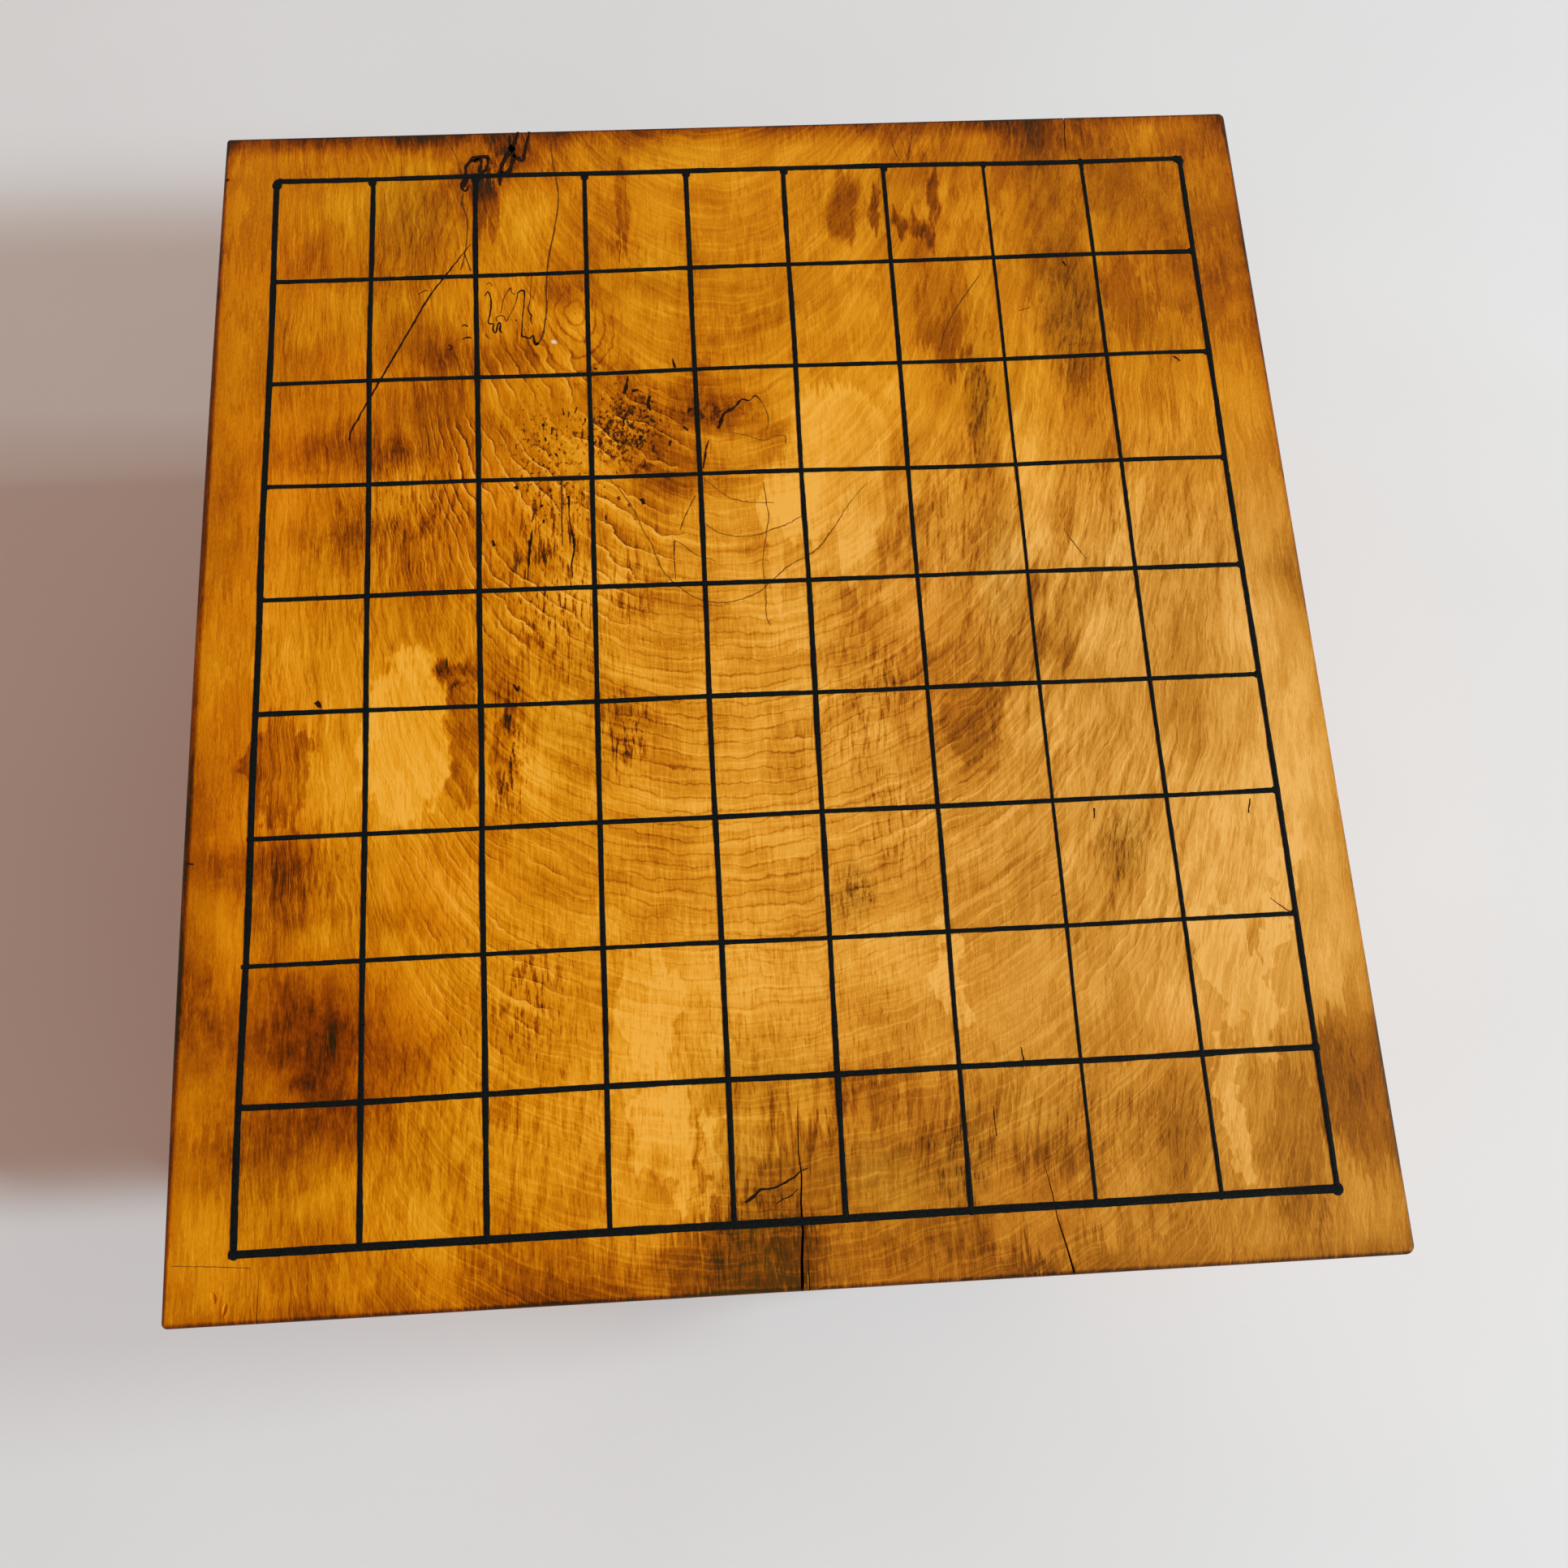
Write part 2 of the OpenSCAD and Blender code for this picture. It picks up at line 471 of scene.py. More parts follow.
dents = [
    (-150, -175, 1.6, 3.2, 0.5, 20), (-147, -178, 1.4, 3.4, 0.6, -10),
    (-142, 181.6, 3.4, 1.6, 0.5), (43, -181.8, 4.5, 1.8, 0.6), (49, -182, 3.2, 1.4, 0.5),
    (105, -6, 5, 2.2, 0.15, 20),
]
tools = bmesh.new()
for path in cracks:
    crack(tools, path)
for place in dents:
    dent(tools, *place)
surface_tools = new_piece("surface_tools", tools)
print("cracks", len(cracks), "dents", len(dents))

# %% Cut the block
cutters = (underside_tools, surface_tools)
for cutter in cutters:
    cut = worn_block.modifiers.new(cutter.name, "BOOLEAN")
    cut.operation = "DIFFERENCE"
    cut.solver = "EXACT"
    cut.object = cutter
depsgraph = bpy.context.evaluated_depsgraph_get()
cut_mesh = bpy.data.meshes.new_from_object(worn_block.evaluated_get(depsgraph))
worn_block.modifiers.clear()
worn_block.data = cut_mesh
cut_mesh.name = "worn_block"
for cutter in cutters:
    bpy.data.objects.remove(cutter)
print("block faces after cutting", len(cut_mesh.polygons))

# %% [markdown]
# ## The lines
# The field is drawn by hand in black lacquer that stands a little above the wood,
# so no line is quite straight or even: each has its own width, leans a little, and
# ends in a small drop where the brush was lifted. They could be painted into the
# wood's colour, but then they would have no edge to catch the light. Each line is a
# thin bar, divided along its length so that its sides can wander, and the drops are
# flattened spheres.

# %% One ruled line
lacquer_height = film_top - top
line_step = 1.5 * mm
sunk = 0.05 * mm


def ruled_line(film, start, end, width, seed):
    """Adds one line from start to end, (x, y) in millimetres, to the film."""
    start = Vector(start) * mm
    end = Vector(end) * mm
    length = (end - start).length
    steps = round(length / line_step)
    across = (end - start).normalized().orthogonal()

    def place(step, side, upper):
        share = step / steps
        along = share * length / mm
        sway = 0.5 * noise.noise(Vector((along / 60, seed * 7.3, 0)))
        swell = 1 + 0.22 * noise.noise(Vector((along / 14, seed * 3.1, 5)))
        rough = 0.12 * noise.noise(Vector((along / 1.8, seed * 5.7 + side * 4, 9)))
        offset = (side * (width / 2 * swell + rough) + sway) * mm
        spot = start.lerp(end, share) + across * offset
        rise = lacquer_height * (1 - 0.4 * abs(side))
        return Vector((spot.x, spot.y, top + rise if upper else top - sunk))

    add_bar(film, steps, place, crown=True)


def drop(film, x, y, width, length):
    """A drop of lacquer where the brush was lifted."""
    size = Matrix.Diagonal((width * mm / 2, length * mm / 2, lacquer_height * 0.98, 1))
    bmesh.ops.create_uvsphere(
        film, u_segments=14, v_segments=8, radius=1, matrix=on_top(x, y, 0) @ size
    )


print("lacquer", round(lacquer_height / mm, 2), "mm high")

# %% All the lines
# Lengthwise lines from left to right: x at the front, x at the back, width
lengthwise = [
    (-145.4, -146.2, 1.8), (-113.1, -116.1, 1.5), (-80.5, -83.3, 1.6), (-48.5, -48.5, 1.45),
    (-16.2, -15.9, 1.5), (13.5, 15.8, 1.5), (46.3, 48.3, 1.35), (79.7, 80.9, 0.95),
    (113.1, 113.0, 1.15), (144.7, 145.6, 1.55),
]
# Crosswise lines from front to back: y at the left, y at the right, width
crosswise = [
    (-164.7, -164.3, 2.1), (-127.2, -126.6, 1.6), (-89.7, -89.0, 1.3), (-53.4, -52.8, 1.4),
    (-16.5, -17.2, 1.4), (19.4, 18.3, 1.4), (56.0, 54.4, 1.4), (91.0, 91.6, 1.4),
    (127.5, 128.7, 1.45), (165.0, 164.1, 1.75),
]
film = bmesh.new()
for number, (front, back, width) in enumerate(lengthwise):
    ruled_line(film, (front, -165.0), (back, 165.2), width, number)
    drop(film, front, -164.6, width * 1.6, width * 1.5)
    drop(film, back, 163.4, width * 1.8, width * 2.0)
for number, (left, right, width) in enumerate(crosswise):
    ruled_line(film, (-146.6, left), (145.8, right), width, number + 20)
    drop(film, 144.6, right, width * 1.6, width * 1.7)
    drop(film, -145.3, left, width * 1.3, width * 1.4)
inked_lines = new_piece("inked_lines", film)
print("line faces", len(inked_lines.data.polygons))

# %% [markdown]
# ## The legs
# The legs are carved like the fruit of a gardenia, which is the custom for these
# boards: a sole and a drawn-in ankle, eight ribs that meet in edges round a full
# belly, and a neck under the tenon. A leg could be sculpted, but on the real board
# it is turned and then carved, and so it is here. Its side view is spun about its
# axis, and then each ring is drawn in between the ribs.

# %% Side view of a leg
rib_count = 8
rib_relief = 7
sole_radius = 29
sole_height = 4
neck_radius = 29
neck_height = 6
tenon_radius = 16
tenon_chamfer = 1.5
lip = 0.6
belly_radius = leg_width / mm / 2
belly_height = 58
ankle_pull = 9
ankle_level = 0.3
fullness_below = 0.55
fullness_above = 0.45
shoulder_reach = 0.75
leg_height = underside / mm
carving_low = sole_height - 1
carving_high = leg_height - neck_height + 1


def mix(start, end, share):
    return start + (end - start) * share


def on_curve(control, share):
    left = 1 - share
    weights = (left ** 3, 3 * left ** 2 * share, 3 * left * share ** 2, share ** 3)
    return sum(w * c for w, c in zip(weights, control))


def side_view(sunk, steps):
    """Radius and height up the carving, for a belly sunk so far inside the crests."""
    belly = belly_radius - sunk
    neck = neck_radius - 1
    shoulder = mix(neck, belly, shoulder_reach)
    ankle_height = mix(carving_low, belly_height, ankle_level)
    full_below = mix(carving_low, belly_height, fullness_below)
    full_above = mix(belly_height, carving_high, fullness_above)
    lower = [
        (sole_radius - 1, sole_radius - ankle_pull, belly, belly),
        (carving_low, ankle_height, full_below, belly_height),
    ]
    upper = [
        (belly, belly, shoulder, neck),
        (belly_height, full_above, carving_high, carving_high),
    ]
    below = [[on_curve(control, j / steps) for control in lower] for j in range(steps)]
    above = [[on_curve(control, j / steps) for control in upper] for j in range(steps + 1)]
    return below + above


crest = side_view(0, 22)
hollow = side_view(rib_relief, 22)
print("rings up a leg", len(crest))


# %% Ribs and outline of a leg
def rib_share(angle):
    """0 on the worn edge of a rib and 1 in the middle of a hollow."""
    wear = 0.02
    swing = math.sin(angle * rib_count / 2) ** 2
    return ((swing + wear) ** 0.5 - wear ** 0.5) / ((1 + wear) ** 0.5 - wear ** 0.5)


def turned_outline():
    """Radius and height round half a leg, from the middle of the sole to the tenon's end."""
    neck_low = leg_height - neck_height
    tenon_end = leg_height + tenon_length / mm
    sole = [
        (0, 0), (sole_radius - 1, 0), (sole_radius, 1), (sole_radius, sole_height - 0.4),
        (sole_radius - lip, sole_height),
    ]
    carving = [point for point in crest if sole_height + 0.2 < point[1] < neck_low - 0.2]
    neck = [
        (neck_radius - lip, neck_low), (neck_radius, neck_low + lip),
        (neck_radius, leg_height), (tenon_radius, leg_height),
        (tenon_radius, tenon_end - tenon_chamfer), (tenon_radius - tenon_chamfer, tenon_end),
        (0, tenon_end),
    ]
    return sole + carving + neck


print("points up the outline", len(turned_outline()))


# %% Spin and carve each leg
def carved_leg(name, x, y, finish):
    """Spins the outline about the leg's axis and then draws it in between the ribs."""
    leg = bmesh.new()
    line = [leg.verts.new((radius, 0, height)) for radius, height in turned_outline()]
    edges = [leg.edges.new(pair) for pair in zip(line, line[1:])]
    steps_round = 24 * rib_count
    bmesh.ops.spin(
        leg, geom=line + edges, cent=(0, 0, 0), axis=(0, 0, 1), angle=2 * math.pi,
        steps=steps_round, use_merge=True,
    )
    bmesh.ops.remove_doubles(leg, verts=leg.verts, dist=0.001)
    radii_at = {
        round(height, 3): (radius, sunk_radius)
        for (radius, height), (sunk_radius, _) in zip(crest, hollow)
    }
    for vert in leg.verts:
        radii = radii_at.get(round(vert.co.z, 3))
        if radii and vert.co.xy.length > tenon_radius + 1:
            angle = math.atan2(vert.co.y, vert.co.x)
            vert.co.xy *= mix(radii[0], radii[1], rib_share(angle)) / radii[0]
    bmesh.ops.recalc_face_normals(leg, faces=leg.faces)
    bmesh.ops.scale(leg, vec=(mm, mm, mm), verts=leg.verts)
    bmesh.ops.translate(leg, vec=(x, y, 0), verts=leg.verts)
    for face in leg.faces:
        face.smooth = True
    piece = new_piece(name, leg, finish)
    piece.data.set_sharp_from_angle(angle=math.radians(38))
    return piece


leg_wood = Finish("carved_leg_wood")
leg_places = {
    "front_left": (-1, -1), "front_right": (1, -1), "back_left": (-1, 1), "back_right": (1, 1),
}
legs = {}
for place, (side, end) in leg_places.items():
    leg_x = side * leg_centre.x
    leg_y = end * abs(leg_centre.y)
    legs[place] = carved_leg(f"carved_leg_{place}", leg_x, leg_y, leg_wood)
print("faces of a leg", len(legs["front_left"].data.polygons))

# %% [markdown]
# ## The wood of the top
# The wood is amber-stained and has a wild figure: growth rings that hang in loops
# below the middle, streaks that follow their arms out to the left and right, and
# clouds of darker stain. A picture of it could be wrapped round the block, but it
# would blur close up and end at the edges. So the figure is built from one number,
# the depth of the stain at each place, which a ramp turns into colour at the end.
# First come the places that it is read at: true ones, softly drifting ones for
# clouds of stain, and frayed ones for stains whose edges run out along the grain.

# %% Places on the top
wood = Finish("stained_top_wood")
x, y = wood.x, wood.y
drift = wood.grain(wood.scaled(wood.mm, 1 / 30), 4, 0.6, output=1)
drift = wood.node("VectorMath", {"operation": "SUBTRACT"}, {0: drift, 1: (0.5, 0.5, 0.5)})


def drifted(reach):
    """The true place moved by the drift, so many millimetres at most each way."""
    inputs = {0: drift, 1: (reach, reach, 0), 2: wood.mm}
    return wood.node("VectorMath", {"operation": "MULTIPLY_ADD"}, inputs)


soft_place = drifted(14)
soft_x, soft_y, _ = wood.split(soft_place)
ring_x, ring_y, _ = wood.split(drifted(9))
warp_x, warp_y, _ = wood.split(wood.grain(wood.scaled(wood.mm, 1 / 12), 3, 0.6, output=1))
rag = wood.swing(x / 1.6, y / 20, 3, 3, 0.6)


def frayed(warp_across, warp_along, rag_across, rag_along):
    """The true place, warped and then frayed along the grain, in millimetres."""
    across = x + (warp_x - 0.5) * warp_across + rag * rag_across
    along = y + (warp_y - 0.5) * warp_along + rag * rag_along
    return wood.at(across, along, 0)


firm_place = frayed(20, 26, 3, 20)
drop_place = frayed(6, 10, 2, 20)
ragged_place = frayed(9, 16, 3, 54)
print("nodes after the places", len(wood.tree.nodes))

# %% [markdown]
# A growth ring is a place where a smooth field passes a whole number, so the shape
# of the field is the shape of the rings. This one is flat below the middle and
# steep at both sides, because the saw cut the rings there at a slant. A second,
# smaller field lies round the knots at the back left. A Wave texture would be
# quicker, but it makes only straight or round rings, so these fields are sums.
# Where the plane met the rings at a slant they also stand up as fine crests.
# The bump raises them, and each crest's pale lit side and dark shaded edge
# are also painted into the colour.

# %% Ring fields
across = ring_x + 8
lean = across * (1 / 185 + across.math("LESS_THAN", 0) * (1 / 132 - 1 / 185))
spread = across * (1 + lean * lean * lean * lean)
below = (80 - ring_y).math("MAXIMUM", 0)
loop = (1.9 * spread * spread + 120 * (190 - ring_y) + 1.07 * below * below).math("SQRT")
knot_across = ring_x + 52
knot_along = (ring_y - 112) * 0.62
knot_loop = (knot_across * knot_across + knot_along * knot_along).math("SQRT")


def mottle(size, level):
    """Noise about zero with features of a size in millimetres, on a level of its own."""
    return wood.swing(x / size, y / size, level, 2, 0.6)


ring_spacing = 3.7
knot_spacing = 3.1
crest_spacing = 5.2
wander = mottle(2.6, 2) * 1.7 + mottle(11, 2) * 3.4
rings = wood.ring_lines(loop + wander, ring_spacing, 0.12)
knot_rings = wood.ring_lines(knot_loop + wander * 0.8, knot_spacing, 0.2)
crest_field = loop + wander * 0.8 + mottle(24, 4) * 9
crest_phase = (crest_field / crest_spacing).math("FRACT")
# Profile of a crest: it raises the bump, and in the colour it is a painted highlight just past each
# crest and painted shade at its edge
crest_relief_and_painted_light = (1 - crest_phase) ** 8 - crest_phase ** 7 * 0.6
print("nodes after the rings", len(wood.tree.nodes))

# %% [markdown]
# The figure between the rings is noise, stretched along what it follows: streaks
# along the rings, fibre along the grain, which slants at the right, and smears,
# flames and charred spots where the stain sank in unevenly. Each kind is mixed in
# only where the real board shows it, by fields of soft ellipses.

# %% Streaks, fibre and spots
streak = wood.swing(loop / 1.7, x / 26, y / 26, 4, 0.65)
broad_streak = wood.swing(loop / 8, x / 40, y / 40, 3, 0.55)
hairs = wood.spots(loop / 0.9, x / 30, y / 30, 2, 0.5, 0.52, 0.64) - 0.3
cloud = wood.swing(x / 26, y / 38, 7, 3, 0.55)
slant = wood.ease(soft_x, 0, 150) * 0.32
grain_x = x - (y - 60) * slant
fibre = wood.swing(grain_x / 0.6, y / 9, 1, 3, 0.7)
pores = wood.swing(x / 0.4, y / 1.4, 29, 2, 0.6)
marbling = wood.swing(x / 4, y / 8, 37, 4, 0.68)
dashes = wood.spots(grain_x / 0.9, y / 6, 11, 2, 0.6, 0.53, 0.66)
smears = wood.spots(grain_x / 1.3, y / 9, 15, 4, 0.68, 0.50, 0.60)
char = wood.spots(x / 2.8, y / 4, 19, 4, 0.7, 0.49, 0.60)
ridge_patches = wood.spots(x / 16, y / 22, 23, 2, 0.5, 0.38, 0.60)
flames = wood.spots((grain_x - y * 0.14) / 3.4, y / 24, 41, 4, 0.6, 0.50, 0.57)
torn = wood.ease(wood.grain(wood.scaled(ragged_place, 1 / 22)), 0.47, 0.53)
print("nodes after the noise", len(wood.tree.nodes))


# %% Soft ellipses
def stain(place, edge, centre_x, centre_y, wide, long, turn=0):
    """How much of a stain's heart is at a place: 1 in the middle, 0 outside."""
    inputs = {
        "Vector": place, "Location": (centre_x, centre_y, 0),
        "Rotation": (0, 0, math.radians(turn)), "Scale": (wide, long, 1000),
    }
    centred = wood.node("Mapping", {"vector_type": "TEXTURE"}, inputs)
    heart = wood.node("TexGradient", {"gradient_type": "SPHERICAL"}, {0: centred}, output=1)
    return heart if edge == 1 else heart.math("DIVIDE", edge, clamp=True)


def together(rows, place=soft_place, edge=1, total=0.0):
    """Adds up rows of (x, y, half width, half length, strength), some with a turn at the end."""
    for centre_x, centre_y, wide, long, strength, *turn in rows:
        heart = stain(place, edge, centre_x, centre_y, wide, long, *turn)
        total = heart.math("MULTIPLY_ADD", strength, total)
    return total


def merged(rows, place, edge):
    """The strongest of some overlapping stains, from rows without a strength."""
    total = stain(place, edge, *rows[0])
    for row in rows[1:]:
        total = total.math("MAXIMUM", stain(place, edge, *row))
    return total


print("nodes before the fields", len(wood.tree.nodes))

# %% Where each kind of figure lies
ring_field = together([(-5, -40, 85, 105, 1)], edge=0.8)
knot_field = together([(-100, 140, 24, 38, 0.5), (-54, 103, 24, 20, 1.2)], edge=0.6)
ridge_field = together([
    (-68, 50, 66, 64, 1), (-86, -84, 46, 56, 0.45), (85, -60, 80, 90, 0.25), (105, 50, 50, 60, 0.2),
], edge=0.5)
dash_field = together([
    (-70, -120, 80, 80, 0.8), (20, -115, 70, 60, 0.8), (-60, 10, 50, 60, 0.7),
], edge=0.7)
char_field = together([
    (-36, 74, 17, 22, 1.5, -10), (-34, 60, 14, 12, 0.9), (-10, 76, 20, 8, 1, 14),
    (-62, 36, 18, 34, 0.3), (-92, -7, 12, 8, 0.8), (-75, -32, 8, 28, 0.8), (-122, 38, 14, 20, 0.4),
    (-10, -164, 26, 16, 0.5), (46, -152, 10, 14, 0.4), (-58, 66, 20, 20, 0.5),
    (-76, 168, 14, 12, 0.7), (22, -78, 8, 12, 0.7), (98, -66, 12, 14, 0.4), (-40, -28, 10, 18, 0.5),
])
smear_field = together([
    (-62, 34, 20, 34, 1.1), (-75, -33, 8, 30, 1.2), (-41, -28, 11, 20, 1.1), (-38, 20, 12, 24, 0.9),
    (-58, 8, 18, 26, 0.9), (30, -22, 16, 30, 0.8, -8), (36, -58, 14, 24, 0.8),
    (22, -78, 8, 14, 0.8), (-68, -100, 16, 24, 1), (-15, -158, 24, 28, 0.6),
    (44, -152, 12, 18, 0.7), (100, -66, 12, 16, 0.7), (-20, -118, 24, 20, 0.4),
    (-125, -60, 16, 30, 0.4), (-100, 50, 30, 30, 0.7), (72, 80, 8, 36, 0.7, -6),
    (103, 100, 16, 40, 0.5), (60, 36, 24, 40, 0.5), (110, 20, 50, 50, 0.4), (90, -140, 60, 30, 0.4),
    (30, 150, 40, 20, 0.2),
], edge=0.7)
flame_field = together([
    (38, 5, 34, 44, 0.7, -16), (10, -30, 30, 20, 0.5), (78, -10, 26, 46, 0.8),
    (-62, -14, 20, 36, 0.6), (40, -56, 30, 26, 0.3), (110, -70, 50, 60, 0.8),
    (-100, 20, 30, 40, 0.4), (95, 40, 70, 50, 0.7), (30, -140, 110, 24, 0.7),
    (-80, -140, 70, 44, 0.5), (-30, 120, 90, 40, 0.25), (90, 140, 60, 40, 0.4),
], edge=0.6)
calm = together([
    (-164, 0, 24, 400, 0.6), (164, 0, 24, 400, 0.4), (-126, -110, 36, 36, 0.7),
    (120, 145, 60, 60, 0.35), (30, 140, 130, 60, 0.2),
], edge=0.5)
print("nodes after the fields", len(wood.tree.nodes))

# %% Depth of the figure
calm = (1 - calm.math("MINIMUM", 0.65)) * (1.25 - wood.ease(soft_y, 20, 90) * 0.25)
brushed = 0.44 - wood.ease(soft_x, -20, 90) * 0.14
looped = 1 - wood.ease(50 - soft_y, 100, 180) * 0.55
figure = (streak * 0.50 + broad_streak * 0.40) * looped
figure = figure + hairs * -0.08 + cloud * 0.26 + fibre * brushed
# The y term makes the top a little paler towards the front, partly a painted sheen of the lamps, as
# with the paler front right below
depth = 0.335 + figure * calm + pores * 0.26 + y * 0.00025
depth = depth + rings * ring_field * 0.28 + knot_rings * knot_field * 0.2
# Painted highlight and shade of the fine crests
depth = depth + (0.02 - crest_relief_and_painted_light) * ridge_field * ridge_patches * 0.66
depth = depth + dashes * dash_field * 0.20 + smears * smear_field * 0.42
depth = depth + flames * flame_field * 0.22 + (torn - 0.5) * 0.10 + char * char_field * 0.30
print("nodes after the figure", len(wood.tree.nodes))

# %% [markdown]
# Each stain is an ellipse, put where the real board has one and bent out of shape
# by the drift or the fraying. A strength above zero is a dark stain and one below
# is a pale patch. Clouds fade all the way from their hearts, patches and blots have
# a firm edge, and drips have a firm edge that frays along the grain. Bare places
# and tongues are where the stain never took. Noise alone would be less work, but it
# would put the stains anywhere.

